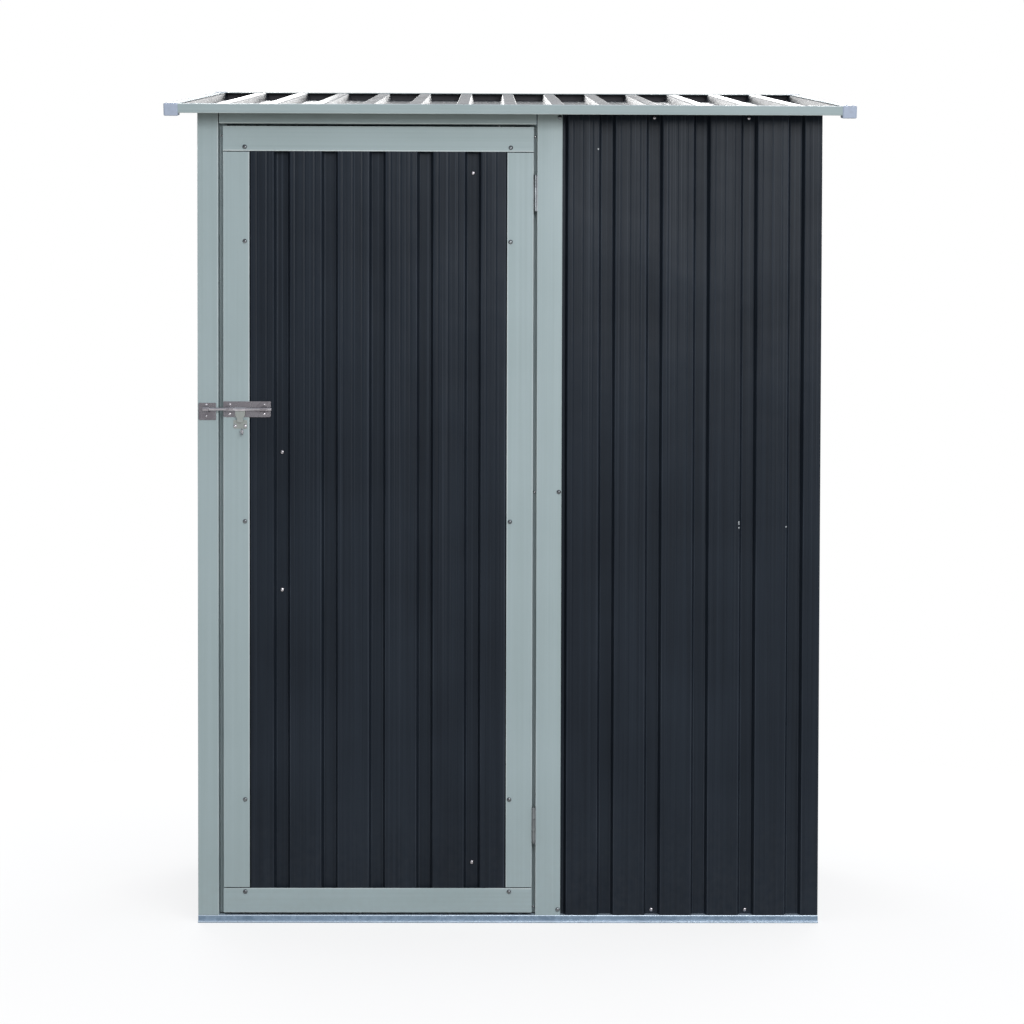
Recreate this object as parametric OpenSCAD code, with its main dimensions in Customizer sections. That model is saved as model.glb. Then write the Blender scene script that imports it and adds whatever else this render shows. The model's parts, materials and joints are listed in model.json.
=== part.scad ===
// Lean-to tool shed of ribbed steel sheet, with a framed door, a slide bolt, base rails, roof trims and caps.
// X runs to the right along the front, Y runs from the front to the back, and Z is up from the ground.

/* [Walls] */
// Outside width of the walls
wall_w = 1306; // [1220:1:1500]
// Outside depth of the walls
wall_d = 765; // [600:1:1000]
// How much higher the back wall stands than the front wall
roof_rise = 141; // [80:1:180]
// Length of the return that a corner sheet folds round its corner
corner_return = 25; // [15:1:28]
// Thickness of folded frame sheet
trim_t = 1; // [0.6:0.1:1.4]

/* [Ribbed sheet] */
// Thickness of the ribbed sheet
sheet_t = 1; // [0.6:0.1:1.4]
// Depth of a rib
rib_h = 16; // [12:0.5:18]
// Width of the narrow flat of a rib
rib_flat = 24.5; // [18:0.5:30]
// Width that each sloping side of a rib takes up
rib_side = 5; // [3:0.5:8]
// Spacing of the ribs on the walls
wall_pitch = 99.1; // [90:0.1:110]
// Spacing of the ribs on the door
door_pitch = 99.8; // [90:0.1:110]
// Spacing of the ribs on the roof
roof_pitch = 100; // [90:0.1:110]
// Place of the front wall's first narrow flat, right of the door jamb's edge
front_flat_at = -4.9; // [-10:0.1:10]
// Place of the door's first narrow flat, right of the door's free edge
door_flat_at = 122.6; // [100:0.1:140]
// Depth of a stiffening groove
groove_h = 0.8; // [0.4:0.1:1.2]
// Width of a stiffening groove
groove_w = 5; // [3:0.5:7]
// Spacing of the three grooves on a wide pan
groove_pitch = 20.4; // [16:0.1:22]
// How far the grooves sit to the right of the middle of their pan
groove_shift = -2; // [-5:0.5:5]
// Gap at a seam between two sheets
seam_gap = 0.4; // [0.2:0.1:0.8]
// How far a seam lies from the foot of its rib
seam_in = 3; // [2:0.5:5]

/* [Base] */
// Height of the base rail's ledge
rail_h = 16; // [12:1:30]
// Width of the base rail's foot, inwards from the wall's face
rail_foot = 25; // [22:1:26]
// How far the base rail's lip stands out from the wall's face
rail_lip = 5; // [2:0.5:8]
// Thickness of the base rail's lip
rail_lip_t = 2.5; // [1.5:0.5:4]
// Height of the base rail's upstand behind the sheets
rail_up = 30; // [20:1:50]

/* [Doorway] */
// Width of the latch post's face
post_w = 43.5; // [41:0.5:60]
// Width of the door jamb's face
jamb_w = 52.5; // [40:0.5:70]
// How far the jamb's crease lies from its right edge
jamb_crease = 17; // [10:1:20]
// How far the jamb's edge past the crease is folded back
jamb_fold = 1.5; // [0.5:0.1:4]
// Gap between the latch post and the door
latch_gap = 10; // [6:0.5:14]
// Gap between the door and the door jamb
hinge_gap = 7.5; // [7:0.1:10]
// Clearance over, under and behind the door
door_clear = 5; // [3:0.5:8]
// Width of the door stops
stop_w = 16; // [12:1:24]
// Height of the header over the door, at its face
header_h = 24; // [18:1:60]

/* [Door] */
// Width of the door
door_w = 648.5; // [600:0.5:700]
// Height of the door
door_h = 1649.5; // [1500:0.5:1800]
// Depth of the door's frame
door_t = 24; // [22:0.5:30]
// Width of the door's stiles
stile_w = 55; // [40:0.5:70]
// Height of the door's rails
door_rail_h = 52; // [40:0.5:70]
// Width of the lip at the back of the door's frame
door_lip = 18; // [10:1:24]
// Width of the door's braces
brace_w = 26; // [20:1:40]
// How far a brace's ends lie in from the top or the bottom of the door
brace_end = 100; // [80:1:140]
// Height between the two braces at the latch side
brace_gap = 289.5; // [200:0.5:400]
// Length of a brace past its fixing
brace_past = 15; // [10:1:25]

/* [Hinges] */
// Length of a hinge
hinge_len = 76; // [60:1:100]
// Radius of a hinge knuckle
knuckle_r = 3; // [2.5:0.1:3.4]
// Radius of the hinge pin
pin_r = 1.5; // [1:0.1:2]
// Running clearance round the hinge pin
pin_fit = 0.05; // [0.02:0.01:0.1]
// Clearance between knuckles
knuckle_gap = 0.4; // [0.3:0.1:0.8]
// How far the hinge pin's axis lies in front of the door's face
hinge_out = 2.5; // [2:0.1:4]
// Depth of a hinge leaf behind the door's face
leaf_d = 20; // [15:1:23]
// Thickness of a hinge leaf
leaf_t = 1; // [0.8:0.1:1.2]
// Height of the upper hinge's middle below the top of the door
hinge_drop = 138; // [100:1:200]
// Height of the lower hinge's middle above the bottom of the door
hinge_rise = 185; // [100:0.5:220]

/* [Bolt] */
// Height of the bolt above the bottom of the door
bolt_up = 1058.8; // [900:0.1:1200]
// Radius of the bolt's rod
rod_r = 3.6; // [3:0.1:4.5]
// Room round the rod in its guides and its keeper
rod_room = 0.6; // [0.3:0.1:1]
// Wall of the guides and the keeper's loop
strap_t = 1.2; // [1:0.1:2]
// Thickness of the bolt's plates
plate_t = 1.2; // [1:0.1:2]
// Length of the bolt's plate
plate_l = 99; // [90:1:120]
// Height of the bolt's plate
plate_h = 33; // [26:1:40]
// How far the plate lies in from the door's free edge
plate_in = 0.5; // [0:0.1:3]
// Width of a guide
guide_w = 15; // [10:0.5:18]
// How far a guide lies in from the end of the plate
guide_in = 6; // [3:0.5:10]
// Length of the rod past the plate's hinge end
rod_past = 2.4; // [1:0.1:8]
// How far the rod reaches past the post's doorway edge
rod_reach = 31.5; // [25:0.5:34]
// Width of the keeper's plate
keeper_w = 37; // [33:0.5:40]
// Height of the keeper's plate
keeper_h = 36; // [28:1:44]
// How far the keeper's plate lies in from the post's outer corner
keeper_in = 2; // [1:0.5:3]
// How far the keeper's plate hangs below the rod's middle line
keeper_drop = 4.7; // [0:0.1:8]
// Width of the keeper's loop
loop_w = 13; // [8:0.5:16]
// Width of the bolt's tab where it joins the rod
tab_w = 21; // [14:0.5:24]
// Width of the tab at its waist
tab_waist = 15; // [10:0.5:20]
// Length of the tab below the rod's middle line
tab_len = 28; // [22:0.5:29]
// Thickness of the tab
tab_t = 2; // [1.5:0.1:3]
// Wall of the sleeve that carries the tab
sleeve_t = 1.2; // [0.8:0.1:1.5]
// Running clearance between the sleeve and the rod
sleeve_fit = 0.05; // [0.02:0.01:0.1]
// Gap between the tab and the left guide
tab_gap = 4; // [2:0.5:8]
// Width of the staple's plate
staple_w = 29; // [24:0.5:36]
// Height of the staple's plate
staple_h = 18; // [14:0.5:24]
// How far the staple's plate lies below the rod's middle line
staple_drop = 22.5; // [20:0.5:30]
// Radius of the padlock hole in the staple's eye
eye_bore_r = 4; // [3:0.1:5]
// Width of metal round the padlock hole
eye_rim = 3; // [2:0.1:4]
// Thickness of the staple's eye
eye_t = 3; // [2:0.1:4]
// How far the staple's eye is turned from square to the door
eye_turn = 25; // [0:1:40]

/* [Roof] */
// How far the roof's caps reach past the walls
roof_over = 62; // [40:1:100]
// Width of the roof trim's lips
trim_lip = 26; // [15:1:28]
// Room between the roof sheets' edges and the trim
trim_room = 4; // [1:0.5:8]
// Length of each side of a roof cap
cap_l = 30; // [29:0.5:45]
// Wall of a roof cap
cap_t = 2; // [1.5:0.1:3]
// Thickness of a cap's top
cap_top = 1; // [1:0.1:3]
// How far a cap hangs below the trim
cap_drop = 6; // [3:0.5:10]
// Width of the top rails' upper leg
top_leg = 25; // [15:1:40]
// Height of the top rails' upright leg
top_up = 28; // [15:1:40]

/* [Hidden] */
$fn = 48;

ANTHRACITE = "#2f343b";
PALE_GREY = "#9caaab";
GALVANISED = "#9fb0bd";
STEEL = "#b4b9bc";
PLASTIC = "#c3cbdc";

// Small length by which a cut runs past what it cuts
cut = 1;
// Gap between sheets that meet at a corner
fit = 0.2;
// Length that is larger than the whole shed
big = 4000;

// Levels inwards from a wall's face: front of the wide pans, and back of the narrow flats
pan_n = trim_t;
back_n = pan_n + rib_h + sheet_t;

// Places along the front, from left to right
post_x0 = -wall_w / 2;
post_x1 = post_x0 + post_w;
door_x0 = post_x1 + latch_gap;
door_x1 = door_x0 + door_w;
jamb_x0 = door_x1 + hinge_gap;
jamb_x1 = jamb_x0 + jamb_w;
front_flat_x = jamb_x1 + front_flat_at;
door_flat_x = door_x0 + door_flat_at;

// Heights of the front
door_z0 = rail_h + door_clear;
door_z1 = door_z0 + door_h;
header_z = door_z1 + door_clear;
front_h = header_z + header_h;
stop_n = door_t + door_clear;

// The roof's own frame is tilted by its slope, with the underside of its sheets at height 0 in it
slope = atan(roof_rise / wall_d);
trim_top = rib_h + sheet_t + trim_t;
cap_hi = trim_top + cap_top;
cap_lo = -trim_t - cap_drop;
roof_w = wall_w + 2 * roof_over;
roof_d = wall_d + 2 * roof_over;
roof_l = (roof_d - (cap_hi - cap_lo) * sin(slope)) / cos(slope);
roof_y0 = (cap_hi + cap_lo) / 2 * sin(slope);
roof_z0 = front_h + (wall_d / 2 + roof_y0) * tan(slope);
trim_x = roof_w / 2 - cap_t;
trim_y = roof_l / 2 - cap_t;
roof_x = trim_x - trim_t - trim_room;
roof_y = trim_y - trim_t - trim_room;

// Hinges and bolt
hinge_x = door_x1 + hinge_gap / 2;
hinge_y = -wall_d / 2 - hinge_out;
hinge_hi_z = door_z1 - hinge_drop;
hinge_lo_z = door_z0 + hinge_rise;
knuckle_l = hinge_len / 3;
strap_r = rod_r + rod_room + strap_t;
sleeve_r = rod_r + sleeve_fit + sleeve_t;
rod_n = -plate_t - sleeve_r - rod_room;
rod_z = door_z0 + bolt_up;
plate_x0 = door_x0 + plate_in;
rod_x0 = post_x1 - rod_reach;
rod_x1 = plate_x0 + plate_l + rod_past;
tab_x0 = plate_x0 + guide_in + guide_w + tab_gap;
staple_z1 = rod_z - staple_drop;
staple_z0 = staple_z1 - staple_h;
eye_r = eye_bore_r + eye_rim;

// Folded sheet: a path on one face of the sheet becomes a closed outline of even thickness to its left
function unit(v) = v / norm(v);
function turn_left(v) = [-v[1], v[0]];
function run(path, i) = unit(path[i + 1] - path[i]);
function fold_point(path, i, t) =
    let (last = len(path) - 1)
    let (before = run(path, max(i - 1, 0)), after = run(path, min(i, last - 1)))
    path[i] + (turn_left(before) + turn_left(after)) * t / (1 + before * after);
function folded(path, t) =
    concat(path, [for (i = [len(path) - 1 : -1 : 0]) fold_point(path, i, t)]);

// Ribbed sheet: its wide pans lie at depth 0 and its narrow flats at the depth of a rib, and a groove is
// pressed only where the sheet is wide enough for the whole of it
function rib_depth(u, flat_u, pitch) =
    let (off = abs(u - flat_u - pitch * round((u - flat_u) / pitch)))
    rib_h * max(0, min(1, (rib_flat / 2 + rib_side - off) / rib_side));
function groove_points(m, u0, u1) =
    m - groove_w / 2 < u0 + cut || m + groove_w / 2 > u1 - cut ? []
        : [[m - groove_w / 2, 0], [m, groove_h], [m + groove_w / 2, 0]];
function rib_points(u) = [
    [u - rib_flat / 2 - rib_side, 0], [u - rib_flat / 2, rib_h],
    [u + rib_flat / 2, rib_h], [u + rib_flat / 2 + rib_side, 0]
];
function ribbed_path(u0, u1, flat_u, pitch) = concat(
    [[u0, rib_depth(u0, flat_u, pitch)]],
    [for (k = [floor((u0 - flat_u) / pitch) - 1 : ceil((u1 - flat_u) / pitch)])
        let (u = flat_u + k * pitch)
        each concat(
            [for (p = rib_points(u)) if (p[0] > u0 + cut && p[0] < u1 - cut) p],
            [for (j = [-1 : 1])
                each groove_points(u + pitch / 2 + groove_shift + j * groove_pitch, u0, u1)])],
    [[u1, rib_depth(u1, flat_u, pitch)]]);

// Places what is drawn along a wall: u runs along it, and the second axis runs inwards from its face
module on_front() translate([0, -wall_d / 2, 0]) children();
module on_back() rotate([0, 0, 180]) translate([0, -wall_d / 2, 0]) children();
module on_right() rotate([0, 0, 90]) translate([0, -wall_w / 2, 0]) children();
module on_left() rotate([0, 0, -90]) translate([0, -wall_w / 2, 0]) children();

// Places what is drawn in the roof's own frame
module on_roof() translate([0, roof_y0, roof_z0]) rotate([slope, 0, 0]) children();

// Keeps what lies below the underside of the roof's sheets
module under_roof() {
    difference() {
        children();
        on_roof()
            translate([-big, -big, 0])
                cube([2 * big, 2 * big, big]);
    }
}

// Ribbed wall sheet from u0 to u1, standing on the base rail's ledge, with a return at either end
module wall_sheet(u0, u1, flat_u, pitch, return0 = false, return1 = false) {
    pans = [for (p = ribbed_path(u0, u1, flat_u, pitch)) [p[0], p[1] + pan_n]];
    start = return0 ? [[u0, pan_n + corner_return]] : [];
    end = return1 ? [[u1, pan_n + corner_return]] : [];
    translate([0, 0, rail_h])
        linear_extrude(front_h + roof_rise)
            polygon(folded(concat(start, pans, end), sheet_t));
}

// Base rail along a wall of the given length, mitred at its corners, with an upstand where asked
module base_rail(length, upstand) {
    foot = [[rail_foot, 0], [0, 0], [0, rail_h], [back_n + trim_t, rail_h]];
    reach = rail_foot + cut;
    intersection() {
        union() {
            translate([-length / 2 - rail_lip, 0, 0])
                rotate([90, 0, 90])
                    linear_extrude(length + 2 * rail_lip) {
                        polygon(folded(foot, -trim_t));
                        translate([-rail_lip, 0])
                            square([rail_lip + trim_t / 2, rail_lip_t]);
                    }
            translate([upstand[0], back_n, rail_h - trim_t])
                cube([upstand[1] - upstand[0], trim_t, trim_t + rail_up]);
        }
        linear_extrude(rail_h + rail_up + cut)
            polygon([
                [-length / 2 - rail_lip, -rail_lip], [length / 2 + rail_lip, -rail_lip],
                [length / 2 - reach, reach], [-length / 2 + reach, reach]
            ]);
    }
}

module base_rail_front() {
    color(GALVANISED)
        on_front()
            base_rail(wall_w, [front_flat_x, wall_w / 2]);
}

module base_rail_back() {
    color(GALVANISED)
        on_back()
            base_rail(wall_w, [-wall_w / 2, wall_w / 2]);
}

module base_rail_left() {
    color(GALVANISED)
        on_left()
            base_rail(wall_d, [-wall_d / 2, wall_d / 2]);
}

module base_rail_right() {
    color(GALVANISED)
        on_right()
            base_rail(wall_d, [-wall_d / 2, wall_d / 2]);
}

// Folded post beside the doorway, along the path of its face and its return round the corner
module post_face(path) {
    under_roof()
        on_front()
            translate([0, 0, rail_h])
                linear_extrude(front_h)
                    polygon(folded(path, trim_t));
}

// Reveal beside the doorway that folds into a door stop, up to the header
module door_reveal(x, toward_door) {
    path = [[x, 0], [x, stop_n], [x + toward_door * stop_w, stop_n]];
    on_front()
        translate([0, 0, rail_h])
            linear_extrude(header_z - rail_h)
                polygon(folded(path, toward_door * trim_t));
}

module latch_post() {
    color(PALE_GREY) {
        post_face([[post_x0, stop_n], [post_x0, 0], [post_x1, 0]]);
        door_reveal(post_x1 - trim_t, 1);
    }
}

module door_jamb() {
    color(PALE_GREY) {
        post_face([[jamb_x0, 0], [jamb_x1 - jamb_crease, 0], [jamb_x1, jamb_fold]]);
        door_reveal(jamb_x0 + trim_t, -1);
    }
}

module door_header() {
    face = [[back_n - trim_t, 0], [0, 0], [0, front_h]];
    color(PALE_GREY)
        under_roof()
            on_front()
                translate([post_x1, 0, header_z])
                    rotate([90, 0, 90])
                        linear_extrude(jamb_x0 - post_x1)
                            polygon(folded(face, -trim_t));
}

module front_wall_panel() {
    color(ANTHRACITE)
        under_roof()
            on_front()
                wall_sheet(jamb_x0 + 2 * trim_t + fit, wall_w / 2, front_flat_x, wall_pitch, return1 = true);
}

// Length of a side wall's sheet, which fits between the front and the back sheets
side_u = wall_d / 2 - pan_n - sheet_t - fit;

module left_wall_panel() {
    color(ANTHRACITE)
        under_roof()
            on_left()
                wall_sheet(-side_u, side_u, wall_pitch / 2, wall_pitch);
}

module right_wall_panel() {
    color(ANTHRACITE)
        under_roof()
            on_right()
                wall_sheet(-side_u, side_u, wall_pitch / 2, wall_pitch);
}

// Seam of the back wall's sheets, on the pan beside the middle flat
back_seam = rib_flat / 2 + rib_side + seam_in;

module back_wall_panel_left() {
    color(ANTHRACITE)
        under_roof()
            on_back()
                wall_sheet(back_seam + seam_gap, wall_w / 2, 0, wall_pitch, return1 = true);
}

module back_wall_panel_right() {
    color(ANTHRACITE)
        under_roof()
            on_back()
                wall_sheet(-wall_w / 2, back_seam, 0, wall_pitch, return0 = true);
}

// Height just under the roof's sheets at the place y
function roof_under(y) = roof_z0 + (y - roof_y0) * tan(slope) - fit;

// Angle under the roof along the front or the back wall, folded along the path of its outer faces
module cross_rail(path, t) {
    half = wall_w / 2 - back_n - fit;
    translate([-half, 0, 0])
        rotate([90, 0, 90])
            linear_extrude(2 * half)
                polygon(folded(path, t));
}

module top_rail_front() {
    y0 = -wall_d / 2 + back_n;
    y1 = y0 + top_leg;
    color(GALVANISED)
        cross_rail([[y0, header_z], [y0, roof_under(y0)], [y1, roof_under(y1)]], -trim_t);
}

module top_rail_back() {
    y1 = wall_d / 2 - back_n;
    y0 = y1 - top_leg;
    z1 = roof_under(y1);
    color(GALVANISED)
        cross_rail([[y1, z1 - top_up], [y1, z1], [y0, roof_under(y0)]], trim_t);
}

// Angle under the roof along a side wall, between the front and the back rails
module side_rail() {
    y1 = wall_d / 2 - back_n - top_leg - fit;
    u0 = (-y1 - roof_y0) / cos(slope) + top_up * tan(slope);
    u1 = (y1 - roof_y0) / cos(slope);
    x1 = wall_w / 2 - back_n;
    on_roof() {
        translate([x1 - trim_t, u0, -top_up])
            cube([trim_t, u1 - u0, top_up]);
        translate([x1 - top_leg, u0, -trim_t])
            cube([top_leg, u1 - u0, trim_t]);
    }
}

module top_rail_right() {
    color(GALVANISED)
        side_rail();
}

module top_rail_left() {
    color(GALVANISED)
        mirror([1, 0, 0])
            side_rail();
}

// Ribbed roof sheet from u0 to u1 across the roof, with its ribs upwards
module roof_sheet(u0, u1) {
    on_roof()
        translate([0, roof_y, 0])
            rotate([90, 0, 0])
                linear_extrude(2 * roof_y)
                    polygon(folded(ribbed_path(u0, u1, 0, roof_pitch), sheet_t));
}

// Seam of the roof's sheets, on the pan beside the middle rib
roof_seam = -rib_flat / 2 - rib_side - seam_in;

module roof_panel_left() {
    color(ANTHRACITE)
        roof_sheet(-roof_x, roof_seam - seam_gap);
}

module roof_panel_right() {
    color(ANTHRACITE)
        roof_sheet(roof_seam, roof_x);
}

// Channel that closes an edge of the roof, drawn inwards from its outer face
module roof_trim(length) {
    path = [[trim_lip, trim_top], [0, trim_top], [0, -trim_t], [trim_lip, -trim_t]];
    translate([-length / 2, 0, 0])
        rotate([90, 0, 90])
            linear_extrude(length)
                polygon(folded(path, trim_t));
}

module roof_trim_front() {
    color(PALE_GREY)
        on_roof()
            translate([0, -trim_y, 0])
                roof_trim(2 * trim_x);
}

module roof_trim_back() {
    color(PALE_GREY)
        on_roof()
            translate([0, trim_y, 0])
                rotate([0, 0, 180])
                    roof_trim(2 * trim_x);
}

module roof_trim_right() {
    color(PALE_GREY)
        on_roof()
            translate([trim_x, 0, 0])
                rotate([0, 0, 90])
                    roof_trim(2 * (trim_y - trim_lip));
}

module roof_trim_left() {
    color(PALE_GREY)
        on_roof()
            translate([-trim_x, 0, 0])
                rotate([0, 0, -90])
                    roof_trim(2 * (trim_y - trim_lip));
}

// Moulded cap over the corner of two trims, drawn for the right back corner and turned by its signs
module roof_cap(side_x, side_y) {
    on_roof()
        difference() {
            translate([side_x * (roof_w / 2 - cap_l / 2), side_y * (roof_l / 2 - cap_l / 2), (cap_hi + cap_lo) / 2])
                cube([cap_l, cap_l, cap_hi - cap_lo], center = true);
            translate([side_x * (trim_x - cap_l / 2), side_y * (trim_y - cap_l / 2), (trim_top - trim_t) / 2])
                cube([cap_l, cap_l, trim_top + trim_t], center = true);
        }
}

module roof_cap_front_left() {
    color(PLASTIC)
        roof_cap(-1, -1);
}

module roof_cap_front_right() {
    color(PLASTIC)
        roof_cap(1, -1);
}

module roof_cap_back_left() {
    color(PLASTIC)
        roof_cap(-1, 1);
}

module roof_cap_back_right() {
    color(PLASTIC)
        roof_cap(1, 1);
}

// Solid of a knuckle from height z0 to z1 on the hinge's axis
module knuckle(z0, z1, r) {
    translate([hinge_x, hinge_y, z0])
        cylinder(r = r, h = z1 - z0);
}

// Flat hinge leaf against the edge at x, on the given side of it
module leaf(x, side, z0, z1) {
    translate([side > 0 ? x : x - leaf_t, hinge_y, z0])
        cube([leaf_t, hinge_out + leaf_d, z1 - z0]);
}

// Jamb leaf with the two outer knuckles and the pin
module jamb_leaf(z) {
    z0 = z - hinge_len / 2;
    z1 = z + hinge_len / 2;
    mid0 = z - knuckle_l / 2;
    mid1 = z + knuckle_l / 2;
    difference() {
        union() {
            leaf(jamb_x0, -1, z0, z1);
            knuckle(z0, z1, knuckle_r);
        }
        knuckle(mid0 - knuckle_gap, mid1 + knuckle_gap, knuckle_r + knuckle_gap);
    }
    knuckle(z0, z1, pin_r);
}

// Door leaf with the middle knuckle
module door_leaf(z) {
    z0 = z - hinge_len / 2;
    z1 = z + hinge_len / 2;
    mid0 = z - knuckle_l / 2;
    mid1 = z + knuckle_l / 2;
    difference() {
        union() {
            difference() {
                leaf(door_x1, 1, z0, z1);
                knuckle(z0 - cut, mid0, knuckle_r + knuckle_gap);
                knuckle(mid1, z1 + cut, knuckle_r + knuckle_gap);
            }
            knuckle(mid0, mid1, knuckle_r);
        }
        knuckle(mid0 - cut, mid1 + cut, pin_r + pin_fit);
    }
}

module hinge_upper_jamb_leaf() {
    color(STEEL)
        jamb_leaf(hinge_hi_z);
}

module hinge_lower_jamb_leaf() {
    color(STEEL)
        jamb_leaf(hinge_lo_z);
}

module hinge_upper_door_leaf() {
    color(STEEL)
        door_leaf(hinge_hi_z);
}

module hinge_lower_door_leaf() {
    color(STEEL)
        door_leaf(hinge_lo_z);
}

// Strap over the rod, from x0 to x1, seated on a plate
module strap(x0, x1) {
    inner_r = rod_r + rod_room;
    legs = -rod_n - plate_t / 2;
    translate([x0, rod_n, rod_z])
        rotate([90, 0, 90])
            linear_extrude(x1 - x0)
                difference() {
                    union() {
                        circle(r = strap_r);
                        translate([0, -strap_r])
                            square([legs, 2 * strap_r]);
                    }
                    circle(r = inner_r);
                    translate([0, -inner_r])
                        square([-rod_n - plate_t, 2 * inner_r]);
                    translate([legs, -strap_r])
                        square([strap_r, 2 * strap_r]);
                }
}

// Flat plate on the front's face
module face_plate(x0, x1, z0, z1) {
    on_front()
        translate([x0, -plate_t, z0])
            cube([x1 - x0, plate_t, z1 - z0]);
}

module bolt_keeper() {
    x0 = post_x0 + keeper_in;
    z0 = rod_z - keeper_h / 2 - keeper_drop;
    color(STEEL) {
        face_plate(x0, x0 + keeper_w, z0, z0 + keeper_h);
        on_front()
            strap(rod_x0, rod_x0 + loop_w);
    }
}

module bolt_plate() {
    left_x = plate_x0 + guide_in;
    right_x = plate_x0 + plate_l - guide_in - guide_w;
    color(STEEL) {
        face_plate(plate_x0, plate_x0 + plate_l, rod_z - plate_h / 2, rod_z + plate_h / 2);
        on_front() {
            strap(left_x, left_x + guide_w);
            strap(right_x, right_x + guide_w);
        }
    }
}

module bolt_rod() {
    color(STEEL)
        on_front()
            translate([rod_x0, rod_n, rod_z])
                rotate([0, 90, 0])
                    cylinder(r = rod_r, h = rod_x1 - rod_x0);
}

module bolt_tab() {
    bore_r = rod_r + sleeve_fit;
    waist_z = -tab_len * 2 / 3;
    color(STEEL)
        on_front()
            translate([tab_x0, rod_n, rod_z])
                difference() {
                    union() {
                        rotate([0, 90, 0])
                            cylinder(r = sleeve_r, h = tab_w);
                        translate([tab_w / 2, tab_t / 2, 0])
                            rotate([90, 0, 0])
                                linear_extrude(tab_t)
                                    polygon([
                                        [-tab_w / 2, 0], [-tab_waist / 2, waist_z], [-tab_waist / 2, -tab_len],
                                        [tab_waist / 2, -tab_len], [tab_waist / 2, waist_z], [tab_w / 2, 0]
                                    ]);
                    }
                    translate([-cut, 0, 0])
                        rotate([0, 90, 0])
                            cylinder(r = bore_r, h = tab_w + 2 * cut);
                }
}

module bolt_staple() {
    x = tab_x0 + tab_w / 2;
    eye_z = staple_z0 - eye_r;
    color(STEEL) {
        face_plate(x - staple_w / 2, x + staple_w / 2, staple_z0, staple_z1);
        difference() {
            union() {
                face_plate(x - eye_r, x + eye_r, eye_z - eye_r, staple_z0 + cut);
                on_front()
                    translate([x, -plate_t / 2, eye_z])
                        rotate([0, 0, eye_turn])
                            translate([-eye_t / 2, -eye_r - eye_rim, 0])
                                eye_lug();
            }
            on_front()
                translate([x, -plate_t / 2, eye_z])
                    rotate([0, 0, eye_turn])
                        translate([-big / 2, -eye_r - eye_rim, 0])
                            rotate([0, 90, 0])
                                cylinder(r = eye_bore_r, h = big / 2 + eye_t);
        }
    }
}

// Round lug of the staple's eye, with the neck that joins it to the plate
module eye_lug() {
    rotate([0, 90, 0])
        cylinder(r = eye_r, h = eye_t);
    translate([0, 0, -eye_r])
        cube([eye_t, eye_r + eye_rim - eye_t / 2 * tan(eye_turn), 2 * eye_r]);
}

// Frame of the door: a member's face, its outer return and the lip at the back
function frame_path(face_w) = [[face_w, 0], [0, 0], [0, door_t], [door_lip, door_t]];

// Upright frame member between the door's rails, whose face starts at the edge x and runs to one side
module door_stile(x, side) {
    path = [for (p = frame_path(stile_w)) [x + side * p[0], p[1]]];
    on_front()
        translate([0, 0, door_z0 + door_rail_h])
            linear_extrude(door_h - 2 * door_rail_h)
                polygon(folded(path, -side * trim_t));
}

// Cross member over the door's full width, whose face starts at the edge z and runs up or down
module door_rail(z, side) {
    path = [for (p = frame_path(door_rail_h)) [p[1], z + side * p[0]]];
    low = min(z, z + side * door_rail_h);
    on_front() {
        translate([door_x0, 0, 0])
            rotate([90, 0, 90])
                linear_extrude(door_w)
                    polygon(folded(path, side * trim_t));
        for (x = [door_x0, door_x1 - trim_t])
            translate([x, 0, low])
                cube([trim_t, door_t, door_rail_h]);
    }
}

module door_stile_latch() {
    color(PALE_GREY)
        door_stile(door_x0, 1);
}

module door_stile_hinge() {
    color(PALE_GREY)
        door_stile(door_x1, -1);
}

module door_rail_top() {
    color(PALE_GREY)
        door_rail(door_z1, -1);
}

module door_rail_bottom() {
    color(PALE_GREY)
        door_rail(door_z0, 1);
}

module door_panel() {
    x0 = door_x0 + trim_t;
    x1 = door_x1 - trim_t;
    path = [for (p = ribbed_path(x0, x1, door_flat_x, door_pitch)) [p[0], p[1] + pan_n]];
    color(ANTHRACITE)
        on_front()
            translate([0, 0, door_z0 + trim_t])
                linear_extrude(door_h - 2 * trim_t)
                    polygon(folded(path, sheet_t));
}

// Flat bar behind the door's narrow flats, from one fixing to the other
module door_brace(x0, z0, x1, z1) {
    length = norm([x1 - x0, z1 - z0]);
    on_front()
        translate([x0, back_n, z0])
            rotate([0, -atan2(z1 - z0, x1 - x0), 0])
                translate([-brace_past, 0, -brace_w / 2])
                    cube([length + 2 * brace_past, trim_t, brace_w]);
}

// Number of flats between the two fixings of a brace
brace_bays = 4;
brace_x0 = door_flat_x;
brace_x1 = door_flat_x + brace_bays * door_pitch;
door_mid_z = (door_z0 + door_z1) / 2;

module door_brace_upper() {
    color(GALVANISED)
        door_brace(brace_x0, door_mid_z + brace_gap / 2, brace_x1, door_z1 - brace_end);
}

module door_brace_lower() {
    color(GALVANISED)
        door_brace(brace_x0, door_mid_z - brace_gap / 2, brace_x1, door_z0 + brace_end);
}

base_rail_front();
base_rail_back();
base_rail_left();
base_rail_right();
latch_post();
door_jamb();
door_header();
front_wall_panel();
left_wall_panel();
right_wall_panel();
back_wall_panel_left();
back_wall_panel_right();
top_rail_front();
top_rail_back();
top_rail_left();
top_rail_right();
roof_panel_left();
roof_panel_right();
roof_trim_front();
roof_trim_back();
roof_trim_left();
roof_trim_right();
roof_cap_front_left();
roof_cap_front_right();
roof_cap_back_left();
roof_cap_back_right();
hinge_upper_jamb_leaf();
hinge_lower_jamb_leaf();
bolt_keeper();
door_panel();
door_stile_latch();
door_stile_hinge();
door_rail_top();
door_rail_bottom();
door_brace_upper();
door_brace_lower();
hinge_upper_door_leaf();
hinge_lower_door_leaf();
bolt_plate();
bolt_staple();
bolt_rod();
bolt_tab();
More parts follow.
